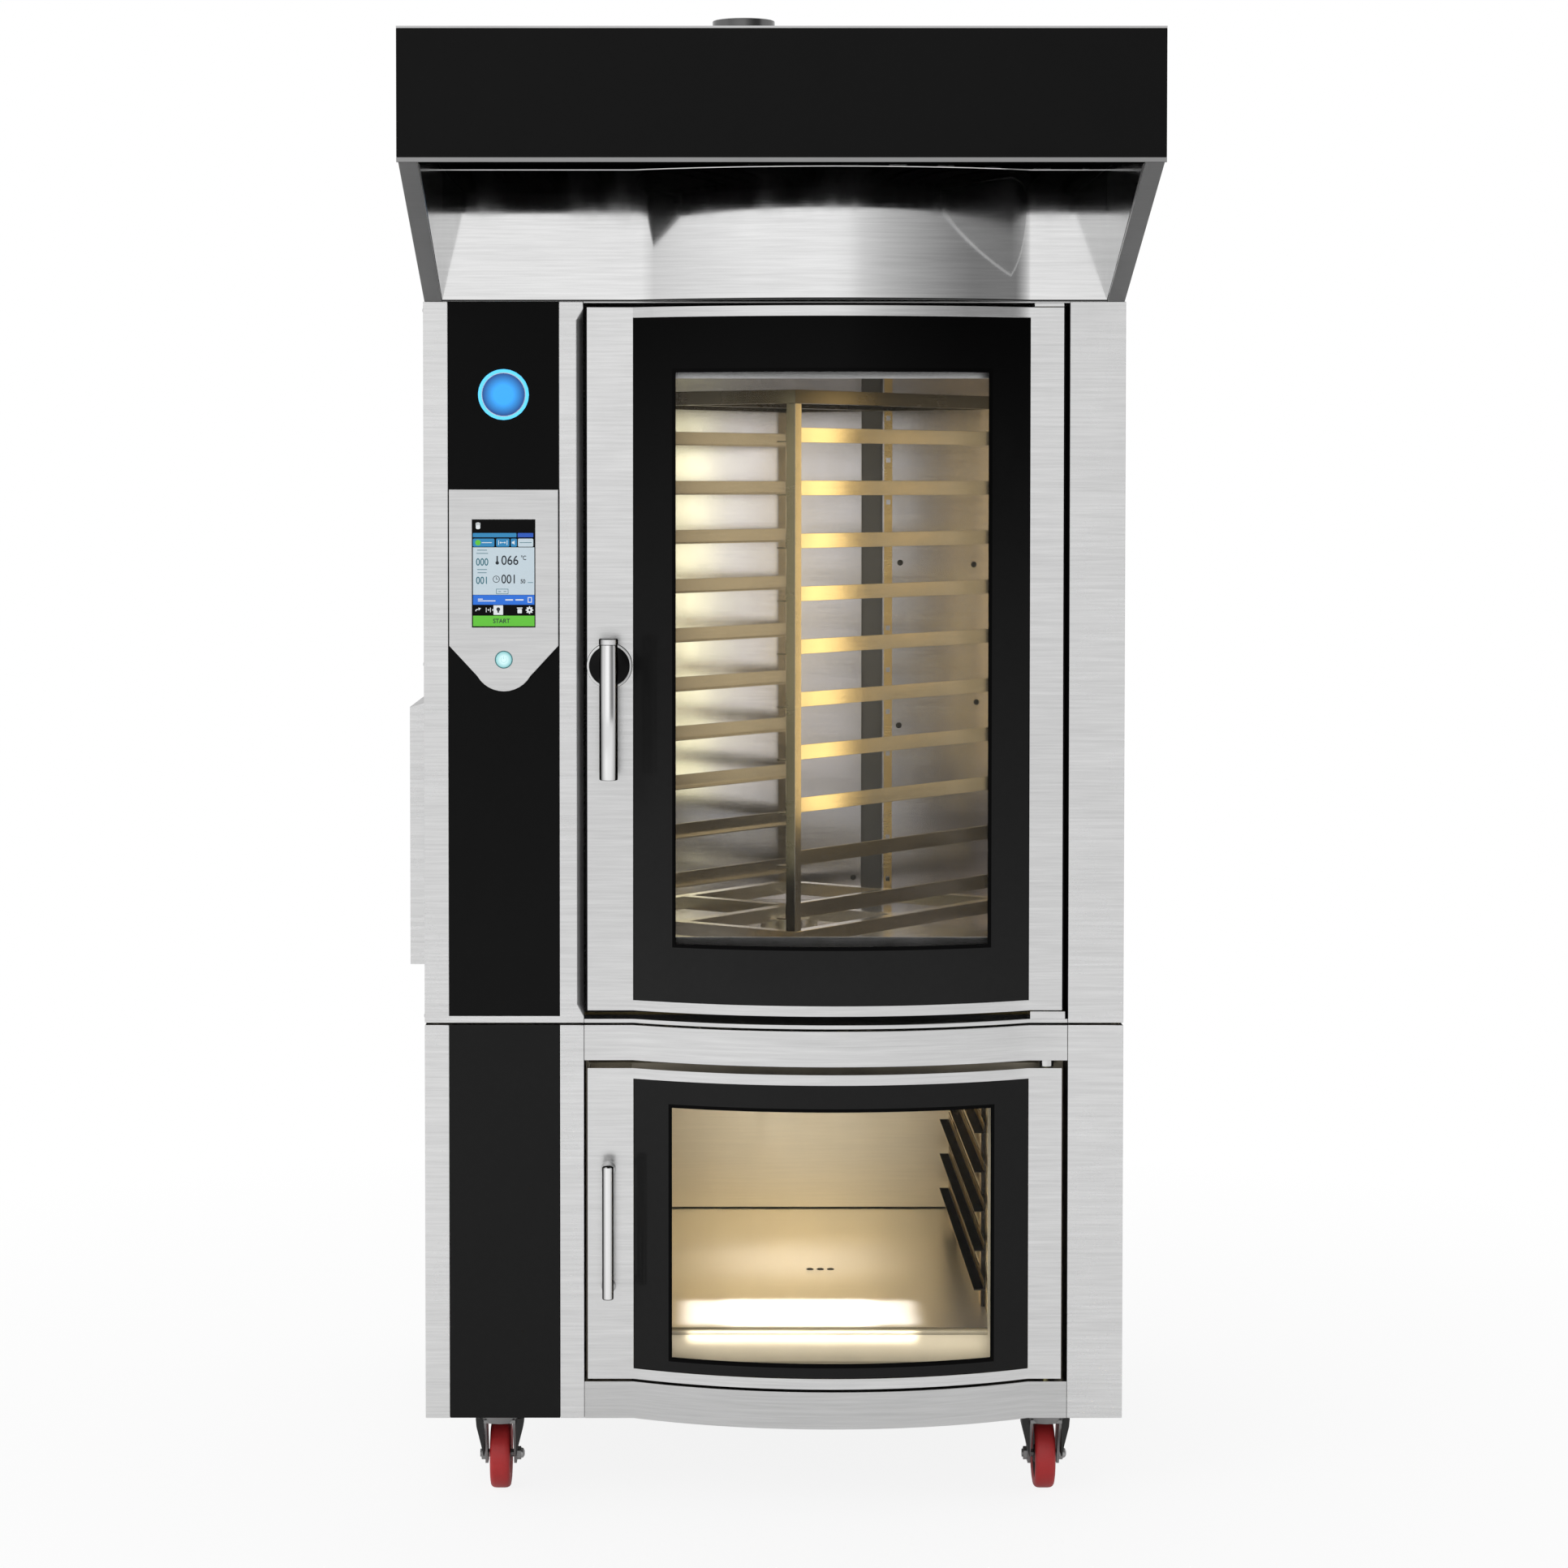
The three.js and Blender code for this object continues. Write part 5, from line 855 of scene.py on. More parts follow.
def make_rosette():
    """Black disc in a metal ring painted near-white as a highlight, on a thin dark backing painted as the
    ring's shadow.
    """
    a, b = low("lever_rosette"), high("lever_rosette")
    place = ((a.x + b.x) / 2, b.y, (a.z + b.z) / 2)
    outer, depth = (b.x - a.x) / 2, b.y - a.y
    inner = outer - 3.0 * MM
    hole = 7 * MM
    disc = turned("rosette_disc", [(hole, 0), (inner, 0), (inner, depth - 1.2 * MM),
                                   (inner - 1 * MM, depth - 0.6 * MM), (hole + 6 * MM, depth - 0.2 * MM),
                                   (hole, depth - 0.2 * MM), (hole, 0)], place, (0, -1, 0), 96)
    finish_piece(disc, "oven_door", [BLACK_PLASTIC], ["lever_rosette"])
    # the ring's near-white colour is a painted highlight
    ring = turned("rosette_ring", [(inner + 0.05 * MM, 0.6 * MM), (outer - 0.2 * MM, 0.6 * MM),
                                   (outer, 1.2 * MM), (outer - 0.2 * MM, depth - 0.8 * MM),
                                   (outer - 1.2 * MM, depth), (inner + 0.05 * MM, depth - 0.3 * MM),
                                   (inner + 0.05 * MM, 0.6 * MM)], place, (0, -1, 0), 96)
    finish_piece(ring, "oven_door", [RING_PAINTED_HIGHLIGHT_STEEL])
    # a dark ring a little wider than the rosette: painted shadow round it
    seat = turned("rosette_painted_shadow", [(inner, 0), (outer + 0.7 * MM, 0), (outer + 0.7 * MM, 0.5 * MM),
                                   (inner, 0.5 * MM), (inner, 0)], place, (0, -1, 0), 96)
    finish_piece(seat, "oven_door", [SEAL_AND_PAINTED_SHADOW_BLACK])


def make_lower_handle():
    """Slim bar on two feet with their discs."""
    a, b = low("proofer_handle"), high("proofer_handle")
    x = (a.x + b.x) / 2
    radius = 8 * MM
    bar_y = a.y + radius
    foot, disc = (b.x - a.x) / 2, 4 * MM
    bar = turned("lower_handle_bar", [
        (0, 0), (radius - 1.2 * MM, 0), (radius, 1.2 * MM), (radius, b.z - a.z - 1.2 * MM),
        (radius - 1.2 * MM, b.z - a.z), (0, b.z - a.z)], (x, bar_y, a.z), (0, 0, 1), 64)
    finish_piece(bar, "proofer_door", [POLISHED_WITH_PAINTED_SHADE], ["proofer_handle"])
    reach = b.y - bar_y
    for name, z in (("upper", b.z - foot), ("lower", a.z + foot)):
        post = turned("lower_handle_" + name + "_foot", [
            (0, 0), (5.5 * MM, 0), (5.5 * MM, reach - disc - 1 * MM), (foot - 1 * MM, reach - disc),
            (foot, reach - disc + 0.8 * MM), (foot, reach), (0, reach)], (x, bar_y, z), (0, 1, 0), 48)
        finish_piece(post, "proofer_door", [BOLT_STEEL])


def make_handles():
    make_lever()
    make_rosette()
    make_lower_handle()


# ------------------------------------------------------------------ controls

SCREEN_LEFT = low("touch_screen").x
SCREEN_TOP = high("touch_screen").z
SCREEN_FACE = low("touch_screen").y
LAYER = 0.05 * MM                   # each area of the display lies this far in front of the last

FIELD = lit("display_field", (0.60, 0.71, 0.78, 1), 0.55)
SKY_BLUE = lit("display_sky_blue", (0.020, 0.24, 0.50, 1), 0.6)
DEEP_BLUE = lit("display_deep_blue", (0.010, 0.09, 0.50, 1), 0.6)
BAR_BLUE = lit("display_bar_blue", (0.012, 0.16, 0.72, 1), 0.6)
LEAF_GREEN = lit("display_green", (0.12, 0.56, 0.035, 1), 0.6)
ICON_WHITE = lit("display_white", (0.80, 0.84, 0.86, 1), 0.6)
TEAL = lit("display_teal", (0.025, 0.18, 0.24, 1), 0.4)
INK = grained("display_ink", (0.012, 0.02, 0.03, 1), 0.4)
SCREEN_BLACK = gloss_panel("display_black", grey(0.004), 0.15, specular=0.06)


def rectangle(x0, y0, x1, y1, corner=0.0):
    """Outline in mm from the display's top left corner, with rounded corners."""
    if corner == 0.0:
        return [(x0, y0), (x1, y0), (x1, y1), (x0, y1)]
    points = []
    centres = [(x1 - corner, y0 + corner, -90), (x1 - corner, y1 - corner, 0),
               (x0 + corner, y1 - corner, 90), (x0 + corner, y0 + corner, 180)]
    for x, y, start in centres:
        for k in range(4):
            angle = math.radians(start + 30 * k)
            points.append((x + corner * math.cos(angle), y + corner * math.sin(angle)))
    return points


def circle(x, y, radius, steps=24):
    return [(x + radius * math.cos(math.tau * i / steps), y + radius * math.sin(math.tau * i / steps))
            for i in range(steps)]


def arc_band(x, y, outer, inner, start=0, sweep=360, steps=24):
    """Quads of a ring or part of one."""
    def point(radius, angle):
        return (x + radius * math.cos(angle), y + radius * math.sin(angle))

    turns = [math.radians(start + sweep * i / steps) for i in range(steps + 1)]
    return [[point(outer, a), point(outer, b), point(inner, b), point(inner, a)]
            for a, b in zip(turns, turns[1:])]


def frame_band(x0, y0, x1, y1, width):
    """Four strips round a box."""
    return [rectangle(x0, y0, x1, y0 + width), rectangle(x0, y1 - width, x1, y1),
            rectangle(x0, y0 + width, x0 + width, y1 - width),
            rectangle(x1 - width, y0 + width, x1, y1 - width)]


def show(name, finish, layer, shapes):
    """Areas of the display in one finish."""
    work = bmesh.new()
    for points in shapes:
        work.faces.new([work.verts.new((SCREEN_LEFT + x * MM, SCREEN_FACE - layer * LAYER,
                                        SCREEN_TOP - y * MM)) for x, y in points])
    for face in work.faces:
        face.normal_update()
        if face.normal.y > 0:
            face.normal_flip()
    mesh = bpy.data.meshes.new(name)
    work.to_mesh(mesh)
    work.free()
    finish_piece(bpy.data.objects.new(name, mesh), "root", [finish])


DIGIT_HEIGHT = 0.70                 # height of a figure for a letter size of 1
BOLDER = 0.16 * MM                  # how much every stroke is widened


def write(name, text, x, foot, height, finish, layer=3, width=1.0):
    """Figures on the display: x and foot in mm from its top left corner."""
    data = bpy.data.curves.new(name, "FONT")
    data.body = text
    data.size = height / DIGIT_HEIGHT * MM
    data.offset = BOLDER
    obj = bpy.data.objects.new(name, data)
    obj.location = (SCREEN_LEFT + x * MM, SCREEN_FACE - layer * LAYER, SCREEN_TOP - foot * MM)
    obj.rotation_euler = (math.radians(90), 0, 0)
    obj.scale = (width, 1, 1)
    finish_piece(obj, "root", [finish])


def make_display():
    """The display's areas, icons and figures, in mm from its top left corner."""
    paint("touch_screen", SCREEN_BLACK)
    show("display_field", FIELD, 1, [rectangle(1, 39.5, 88.5, 107)])
    show("display_title", SKY_BLUE, 1, [
        rectangle(1, 19, 63, 25, 0.8), rectangle(1, 27, 31.6, 38.5, 1.5),
        rectangle(34.2, 27, 53, 38.5, 1.5), rectangle(55, 27, 63.6, 38.5, 1.5)])
    show("display_title_end", DEEP_BLUE, 1, [rectangle(64.8, 19, 87, 25, 0.8)])
    show("display_value_box", FIELD, 1, [rectangle(65.2, 27, 87, 38.5, 1.5)])
    show("display_lower_bar", BAR_BLUE, 1, [rectangle(1, 107.4, 88.5, 121.2)])
    show("display_start_bar", LEAF_GREEN, 1, [rectangle(1, 136.8, 88.5, 151.8)])
    show("display_fan_icon", LEAF_GREEN, 2, [circle(8.2, 32.7, 4)])
    fingers = [rectangle(5.2 + 1.7 * k, 3.4 + abs(k - 1.5) * 0.7, 6.4 + 1.7 * k, 9, 0.5) for k in range(4)]
    arrows = [[(39, 32.7), (41, 31.2), (41, 34.2)], [(48, 32.7), (46, 34.2), (46, 31.2)]]
    low_arrows = [[(x - 17.6, y + 95.9) for x, y in shape] for shape in arrows]
    show("display_white_icons", ICON_WHITE, 2, [
        *fingers, rectangle(5.2, 8, 11.5, 13.4, 2),
        rectangle(37.2, 29.5, 38.1, 36), rectangle(49.2, 29.5, 50.1, 36),
        rectangle(41, 32.3, 46, 33.1), *arrows,
        rectangle(56.6, 31.4, 58.4, 34), [(58.4, 31.4), (60.4, 29.6), (60.4, 35.8), (58.4, 34)],
        rectangle(13.5, 32.2, 28, 33.2),
        rectangle(19.4, 125.4, 20.3, 132), rectangle(25.4, 125.4, 26.3, 132),
        rectangle(23.2, 128.2, 24.6, 129), *low_arrows,
        rectangle(30.2, 122, 43.8, 135.6),
        rectangle(63.6, 125.2, 71.4, 126.6), rectangle(64.4, 127.3, 70.6, 133.4, 0.9),
        *arc_band(81.5, 128.8, 4, 1.5), *[gear_tooth(81.5, 128.8, 45 * k) for k in range(8)],
        *arc_band(7.4, 130.4, 3.2, 2.0, 180, 120, 10), [(8.6, 125.4), (12.4, 126.2), (9.4, 129.4)],
        rectangle(8, 112.6, 15, 113.8), rectangle(8, 115, 33, 116.4), rectangle(47, 113.4, 58, 115.2),
        rectangle(61.5, 113.4, 73, 115.2), *frame_band(79, 110.4, 85, 118.2, 1.1)])
    show("display_bulb", INK, 3, [circle(37, 127.6, 2.7), rectangle(35.8, 130, 38.2, 132.6)])
    show("display_thermometer", INK, 2, [rectangle(34.6, 51.5, 36.6, 60, 0.9), circle(35.6, 61.6, 2.5)])
    show("display_clock", INK, 2, [*arc_band(34.2, 84.8, 5, 4.1), rectangle(33.8, 81.8, 34.6, 85.2),
                                   rectangle(33.8, 84.6, 37.2, 85.3)])
    show("display_small_lines", TEAL, 2, [
        rectangle(7, 43, 21, 43.9), rectangle(6, 47.6, 22.4, 48.5), rectangle(7, 70.6, 21, 71.5),
        rectangle(7.6, 75.2, 20.4, 76.1), *frame_band(34, 98.6, 51.4, 106, 0.7),
        rectangle(37, 102, 41, 102.8), rectangle(44.6, 102, 48.6, 102.8), rectangle(79, 89.2, 86.6, 90),
        rectangle(67.6, 32.3, 84.6, 33.1)])
    write("display_set_heat", "000", 5.2, 65.2, 10.2, TEAL, width=0.82)
    write("display_heat", "066", 41.2, 64.2, 13.2, INK, width=0.88)
    write("display_heat_unit", "\u00b0C", 69.2, 57.4, 6.2, INK, width=0.8)
    write("display_set_time", "001", 5.2, 91.4, 10.2, TEAL, width=0.82)
    write("display_time", "001", 41.2, 90.6, 12.4, INK, width=0.84)
    write("display_seconds", "50", 68.6, 90.6, 5.8, INK, width=0.86)
    write("display_start", "START", 29.4, 147.2, 6.0, INK, width=0.96)


def gear_tooth(x, y, degrees):
    """One tooth of the settings wheel."""
    angle = math.radians(degrees)
    along, across = (math.cos(angle), math.sin(angle)), (-math.sin(angle), math.cos(angle))
    return [(x + along[0] * r + across[0] * w, y + along[1] * r + across[1] * w)
            for r, w in ((3.7, -1.1), (5.4, -0.7), (5.4, 0.7), (3.7, 1.1))]


def make_button():
    """Lit button in its ring, with the usual sign for on and off."""
    a, b = low("power_button"), high("power_button")
    x, z = (a.x + b.x) / 2, (a.z + b.z) / 2
    radius = 11 * MM
    lens = lit("button_glow", (0.66, 0.92, 0.93, 1), 0.75, centre=(x, a.y, z), reach=radius * 0.95,
               rim=(0.30, 0.62, 0.64, 1))
    head = turned("button_head", [(0, 0), (radius - 1.2 * MM, 0), (radius, -1 * MM), (radius, -17 * MM),
                                  (0, -17 * MM)], (x, a.y, z), (0, -1, 0))
    finish_piece(head, "power_button", [lens], ["power_button"])
    edge = lit("button_edge", (0.05, 0.22, 0.24, 1), 0.3)
    face = low("control_plate").y
    inner, outer = radius + 0.4 * MM, radius + 1.7 * MM
    ring = turned("button_ring", [(inner, 0), (outer, 0), (outer, 0.5 * MM), (inner, 0.8 * MM), (inner, 0)],
                  (x, face, z), (0, -1, 0))
    finish_piece(ring, "root", [edge])
    work = bmesh.new()
    symbol = [*arc_band(0, 0, 4.4, 3.8, -60, 300), rectangle(-0.35, -5, 0.35, -0.8)]
    for points in symbol:
        work.faces.new([work.verts.new((x + u * MM, a.y - LAYER, z - v * MM)) for u, v in points])
    mark = from_bmesh("button_symbol", work)
    finish_piece(mark, "power_button", [lit("button_mark", (0.42, 0.76, 0.78, 1), 0.6)])


def make_status_light():
    """Round blue light: a domed lens that fades to its edge, in a bright rim."""
    a, b = low("status_light"), high("status_light")
    x, z, radius = (a.x + b.x) / 2, (a.z + b.z) / 2, (b.x - a.x) / 2
    centre = (x, a.y, z)
    glow = lit("status_glow", (0.03, 0.36, 0.92, 1), 0.9, centre=centre, reach=radius * 0.84,
               rim=(0.004, 0.05, 0.22, 1))
    halo = lit("status_halo", (0.10, 0.60, 1.0, 1), 1.0)
    lens = turned("status_lens", [(0, 0.8 * MM), (radius * 0.5, 0.5 * MM), (radius * 0.84, 0),
                                  (radius * 0.84, -4 * MM), (0, -4 * MM)], centre, (0, -1, 0))
    finish_piece(lens, "root", [glow], ["status_light"])
    rim = turned("status_rim", [(radius * 0.88, -4 * MM), (radius * 0.88, 0.1 * MM),
                                (radius * 0.92, 0.6 * MM), (radius * 0.97, 0.6 * MM), (radius, 0),
                                (radius, -4 * MM), (radius * 0.88, -4 * MM)], centre, (0, -1, 0))
    finish_piece(rim, "root", [halo])


def make_controls():
    """Control plate with its display, button and light."""
    dress("control_plate", PLATE_STEEL, 0.7 * MM, second=BRIGHT_TRIM,
          where=lambda centre, normal: abs(normal.y) < 0.5)
    make_display()
    make_button()
    make_status_light()


# ------------------------------------------------------------------ inside

def strip_box(work, x0, x1, y0, y1, z0, z1, lip):
    """Channel section open to the front: a web and two flanges."""
    box_mesh(work, x0, x1, y1 - 0.8 * MM, y1, z0, z1)
    box_mesh(work, x0, x0 + lip, y0, y1 - 0.8 * MM, z0, z1)
    box_mesh(work, x1 - lip, x1, y0, y1 - 0.8 * MM, z0, z1)


def add_chamber_trims():
    """Channel, perforated strip, seams and screws on the chamber's rear wall."""
    wall = high("chamber_liner").y - 1.6 * MM
    z0, z1 = REAR_TRIM_FOOT, REAR_TRIM_TOP
    work = bmesh.new()
    strip_box(work, CHANNEL_LEFT, CHANNEL_RIGHT, wall - 9 * MM, wall, z0, z1, 1.0 * MM)
    finish_piece(from_bmesh("sensor_channel", work), "root", [CHANNEL_PAINTED_SHADE_STEEL])
    work = bmesh.new()
    x0, x1 = STRIP_LEFT, STRIP_RIGHT
    border, first_slot, slot_half = 3.2 * MM, 24 * MM, 4 * MM
    box_mesh(work, x0, x0 + border, wall - 2.4 * MM, wall, z0, z1)
    box_mesh(work, x1 - border, x1, wall - 2.4 * MM, wall, z0, z1)
    start = z0
    for k in range(STRIP_SLOTS + 1):
        end = z0 + first_slot + STRIP_PITCH * k - slot_half if k < STRIP_SLOTS else z1
        box_mesh(work, x0 + border, x1 - border, wall - 2.2 * MM, wall - 0.2 * MM, start, end)
        start = end + 2 * slot_half
    finish_piece(from_bmesh("steam_strip", work), "root", [PERFORATED])
    work = bmesh.new()
    for x in SEAM_PLACES:
        box_mesh(work, x - 0.9 * MM, x + 0.9 * MM, wall - 1.2 * MM, wall, z0, z1)
        box_mesh(work, x - 3 * MM, x + 3 * MM, wall - 0.5 * MM, wall, z0, z1)
    finish_piece(from_bmesh("rear_wall_seams", work), "root", [CHAMBER_STEEL])
    places = [(x, wall, z) for x, z in REAR_SCREW_PLACES]
    add_screws("rear_wall_screws", places, (0, -1, 0), "root", DARK_BOLT, 5 * MM)


def add_floor_trims():
    """The seam where the proofing chamber's floor meets its rear wall, and rims on the drain holes."""
    a, b = low("proofer_liner"), high("proofer_liner")
    wall = b.y - 1.6 * MM
    work = bmesh.new()
    section = [(0.0, 0.0), (-2.4 * MM, 0.0), (-1.7 * MM, 1.2 * MM), (-1.0 * MM, 2.0 * MM), (0.0, 2.8 * MM)]
    prism(work, *[[(x, wall + y, PROOFER_FLOOR_Z + z) for y, z in section]
                  for x in (a.x + 40 * MM, b.x - 40 * MM)])
    finish_piece(from_bmesh("floor_seam", work), "root", [SEAL_AND_PAINTED_SHADOW_BLACK])
    for name, step in (("left", -1), ("middle", 0), ("right", 1)):
        rim = turned("drain_rim_" + name, [
            (3.2 * MM, 0.1 * MM), (3.2 * MM, 0.9 * MM), (4.2 * MM, 1.3 * MM), (5.4 * MM, 0.9 * MM),
            (5.8 * MM, 0.1 * MM), (3.2 * MM, 0.1 * MM)],
            (CURVE_MID + step * DRAIN_PITCH, a.y + DRAIN_INSET, PROOFER_FLOOR_Z), (0, 0, 1), 32)
        finish_piece(rim, "root", [DARK_BOLT])


def dress_inside():
    """Both chambers, the rack, the runners and the hidden works."""
    def on_land(centre, normal):
        return normal.y < -0.9 and centre.y < low("chamber_liner").y + 3 * MM

    # the upper chamber's sealing land is painted near-black as shade
    dress("chamber_liner", CHAMBER_STEEL, 0.6 * MM, second=PAINTED_SHADE_STEEL, where=on_land)
    dress("air_baffle", CHAMBER_STEEL, 0.4 * MM)
    tub = dress("proofer_liner", PROOFER_STEEL, 0.6 * MM, second=PROOFER_FLOOR,
          where=lambda centre, normal: normal.z > 0.9 and abs(centre.z - PROOFER_FLOOR_Z) < 4 * MM)
    # the proofer's sealing land is painted darker as shade
    recoat(tub, LAND_PAINTED_SHADE_STEEL, on_land)
    for node in ("rack_base", "rack_side_far"):
        dress(node, RACK_STEEL, 0.4 * MM)
    dress("rack_top", RACK_SHADE, 0.4 * MM)
    dress("rack_side_near", RACK_STEEL, 0.4 * MM, second=RACK_SHADE,
          where=lambda centre, normal: normal.x < -0.5 and normal.y < -0.5)
    # the runners' sideways faces get the painted orange glint
    for node in ("runner_rack_left", "runner_rack_right"):
        dress(node, RUNNER_STEEL, 0.4 * MM, second=RUNNER_PAINTED_GLINT,
              where=lambda centre, normal: abs(normal.x) > 0.9)
    add_floor_trims()
    paint("fan_impeller", CHAMBER_STEEL)
    paint("fan_motor", MOTOR_PAINT)
    paint("rack_gearmotor", MOTOR_PAINT)
    paint("heating_element", HEATER_SHEATH)
    paint("chamber_insulation", MINERAL_WOOL)
    dress("chamber_lamp", LAMP_GLASS, 0.8 * MM)
    add_chamber_trims()


# ------------------------------------------------------------------ castors

CASTOR_PLACES = ("front_left", "front_right", "rear_left", "rear_right")


def make_castors():
    """Four castors, each a wheel in its fork."""
    for place in CASTOR_PLACES:
        make_wheel(place)
        make_fork(place)


def make_wheel(place):
    """Red tyre with rounded shoulders on a dark core with its bearing."""
    node = "caster_wheel_" + place
    a, b = low(node), high(node)
    centre = ((a.x + b.x) / 2, (a.y + b.y) / 2, (a.z + b.z) / 2)
    body = "wheel_" + place
    radius, half = (b.z - a.z) / 2, (b.x - a.x) / 2
    rim = radius - 14 * MM
    shoulder = [(rim, half - 2.5 * MM), (radius - 8 * MM, half), (radius - 4.2 * MM, half - 0.7 * MM),
                (radius - 1.6 * MM, half - 2.7 * MM), (radius - 0.4 * MM, half - 5.4 * MM),
                (radius, half - 9 * MM)]
    profile = shoulder + [(r, -h) for r, h in reversed(shoulder)] + [shoulder[0]]
    finish_piece(turned(node + ".tyre", profile, centre, (1, 0, 0), 96), body, [TYRE], [node])
    side = [(5.4 * MM, half - 1 * MM), (12 * MM, half - 1 * MM), (14 * MM, half - 4 * MM),
            (rim - 4 * MM, half - 6 * MM), (rim - 1 * MM, half - 3 * MM), (rim, half - 3 * MM)]
    core = side + [(r, -h) for r, h in reversed(side)] + [side[0]]
    finish_piece(turned(node + ".core", core, centre, (1, 0, 0), 64), body, [WHEEL_CORE])


def make_fork(place):
    """Swivel head with its ball race, cheeks, dark outer webs and the axle bolt's head."""
    node = "caster_fork_" + place
    body = "caster_" + place
    dress(node, PLATED, 0.8 * MM)
    a, b = low(node), high(node)
    wheel_a, wheel_b = low("caster_wheel_" + place), high("caster_wheel_" + place)
    x, axle_y, axle_z = (a.x + b.x) / 2, (wheel_a.y + wheel_b.y) / 2, (wheel_a.z + wheel_b.z) / 2
    swivel = JOINTS["swivel_" + place]["pos_m"]
    race = turned(node + ".race", [(24 * MM, -1.5 * MM), (30.5 * MM, -1.5 * MM), (31.5 * MM, -3.5 * MM),
                                   (30.5 * MM, -6 * MM), (24 * MM, -6 * MM), (24 * MM, -1.5 * MM)],
                  (swivel[0], swivel[1], b.z - 1 * MM), (0, 0, 1), 64)
    finish_piece(race, body, [DARK_BOLT])
    cheek, web_gap, web_half = 23 * MM, 0.1, 16 * MM
    outline = [(0, 62), (12, 62), (11, 50), (7.5, 36), (4, 22), (1.2, 8), (0, 6)]
    work = bmesh.new()
    for side in (-1, 1):
        prism(work, *[[(x + side * (cheek + (web_gap + u) * MM), y, axle_z + w * MM) for u, w in outline]
                      for y in (swivel[1] - web_half, swivel[1] + web_half)])
    finish_piece(from_bmesh(node + ".webs", work), body, [FORK_BLACK])
    reach = (b.x - a.x) / 2
    head = turned(node + ".bolt_head", [(0, 0), (3.5 * MM, 0), (6.5 * MM, -1.6 * MM), (7.5 * MM, -4 * MM),
                                        (7.5 * MM, -6.5 * MM), (0, -6.5 * MM)],
                  (x + reach - 1 * MM, axle_y, axle_z), (1, 0, 0), 32)
    finish_piece(head, body, [BOLT_STEEL])


# ------------------------------------------------------------------ studio

def make_floor():
    """Pale floor, which the camera sees a little darker near the oven."""
    mesh = bpy.data.meshes.new("floor")
    reach = 60.0
    mesh.from_pydata([(-reach, -reach, 0), (reach, -reach, 0), (reach, reach, 0), (-reach, reach, 0)],
                     [], [(0, 1, 2, 3)])
    floor = bpy.data.objects.new("floor", mesh)
    finish, tree, shader = start_finish("floor_paint", Roughness=0.9, Specular_IOR_Level=0.0)
    shader.inputs["Base Color"].default_value = grey(0.8)
    path = add(tree, "LightPath").outputs
    seen = maths(tree, "MAXIMUM", path["Is Camera Ray"], path["Is Transmission Ray"])
    seen = maths(tree, "MAXIMUM", seen, maths(tree, "MULTIPLY", path["Is Glossy Ray"], 0.3))
    glow = add(tree, "Emission", {"Color": grey(1.0), "Strength": 1.0})
    place = add(tree, "TexCoord").outputs["Object"]
    away = add(tree, "VectorMath", {0: place}, operation="LENGTH").outputs["Value"]
    near = add(tree, "MapRange", {"Value": away, "From Min": 0.7, "From Max": 2.6,
                                  "To Min": 0.88, "To Max": 1.0}).outputs[0]
    share = maths(tree, "MULTIPLY", seen, near)
    mix = add(tree, "MixShader", {0: share, 1: shader.outputs[0], 2: glow.outputs[0]})
    tree.links.new(mix.outputs[0], tree.nodes["Material Output"].inputs["Surface"])
    mesh.materials.append(finish)
    bpy.context.scene.collection.objects.link(floor)


# the studio's brightness by bearing in degrees: 0 is straight in front, positive to the right
FLAG_LEVELS = [(-180, 0.9), (-70, 0.9), (-52, 0.72), (-35, 0.85), (-20, 0.95), (2, 0.95), (6, 0.90),
               (10, 0.72), (16, 0.56), (25, 0.40), (34, 0.27), (40, 0.21), (60, 0.21), (72, 0.75),
               (90, 0.9), (180, 0.9)]


def make_world():
    """Even white studio with one darker flag to the right of the front."""
    world = bpy.data.worlds.new("studio")
    bpy.context.scene.world = world
    world.use_nodes = True
    tree = world.node_tree
    background = tree.nodes["Background"]
    toward = add(tree, "SeparateXYZ", {0: add(tree, "TexCoord").outputs["Generated"]}).outputs
    bearing = maths(tree, "ARCTAN2", toward["X"], maths(tree, "MULTIPLY", toward["Y"], -1.0))
    share = add(tree, "MapRange", {"Value": bearing, "From Min": -math.pi, "From Max": math.pi}).outputs[0]
    ramp = add(tree, "ValToRGB", {"Fac": share})
    elements = ramp.color_ramp.elements
    for index, (degrees, level) in enumerate(FLAG_LEVELS):
        place = (degrees + 180) / 360
        if index == 0:
            element = elements[0]
            element.position = place
        elif index == len(FLAG_LEVELS) - 1:
            element = elements[-1]
            element.position = place
        else:
            element = elements.new(place)
        element.color = grey(level)
    path = add(tree, "LightPath").outputs
    shown = add(tree, "Mix", {0: path["Is Camera Ray"], 6: ramp.outputs[0], 7: grey(1.0)},
                data_type="RGBA").outputs[2]
    tree.links.new(shown, background.inputs["Color"])
    background.inputs["Strength"].default_value = 1.0


def area_light(name, place, target, size, power, colour=(1, 1, 1), size_y=None):
    """A rectangular light at the place, turned to the target."""
    data = bpy.data.lights.new(name, "AREA")
    data.energy = power
    data.color = colour
    data.shape = "RECTANGLE"
    data.size = size
    data.size_y = size_y or size
    lamp = bpy.data.objects.new(name, data)
    lamp.location = place
    aim = Vector(target) - Vector(place)
    lamp.rotation_mode = "QUATERNION"
    lamp.rotation_quaternion = aim.to_track_quat("-Z", "Y")
    bpy.context.scene.collection.objects.link(lamp)
    return lamp


def hidden_light(name, place, target, size, power, colour=(1, 1, 1), size_y=None, glossy=True, spread=180):
    """An area light that is only seen by what it lights."""
    lamp = area_light(name, place, target, size, power, colour, size_y)
    lamp.visible_camera = False
    lamp.visible_glossy = glossy
    lamp.data.spread = math.radians(spread)
    return lamp


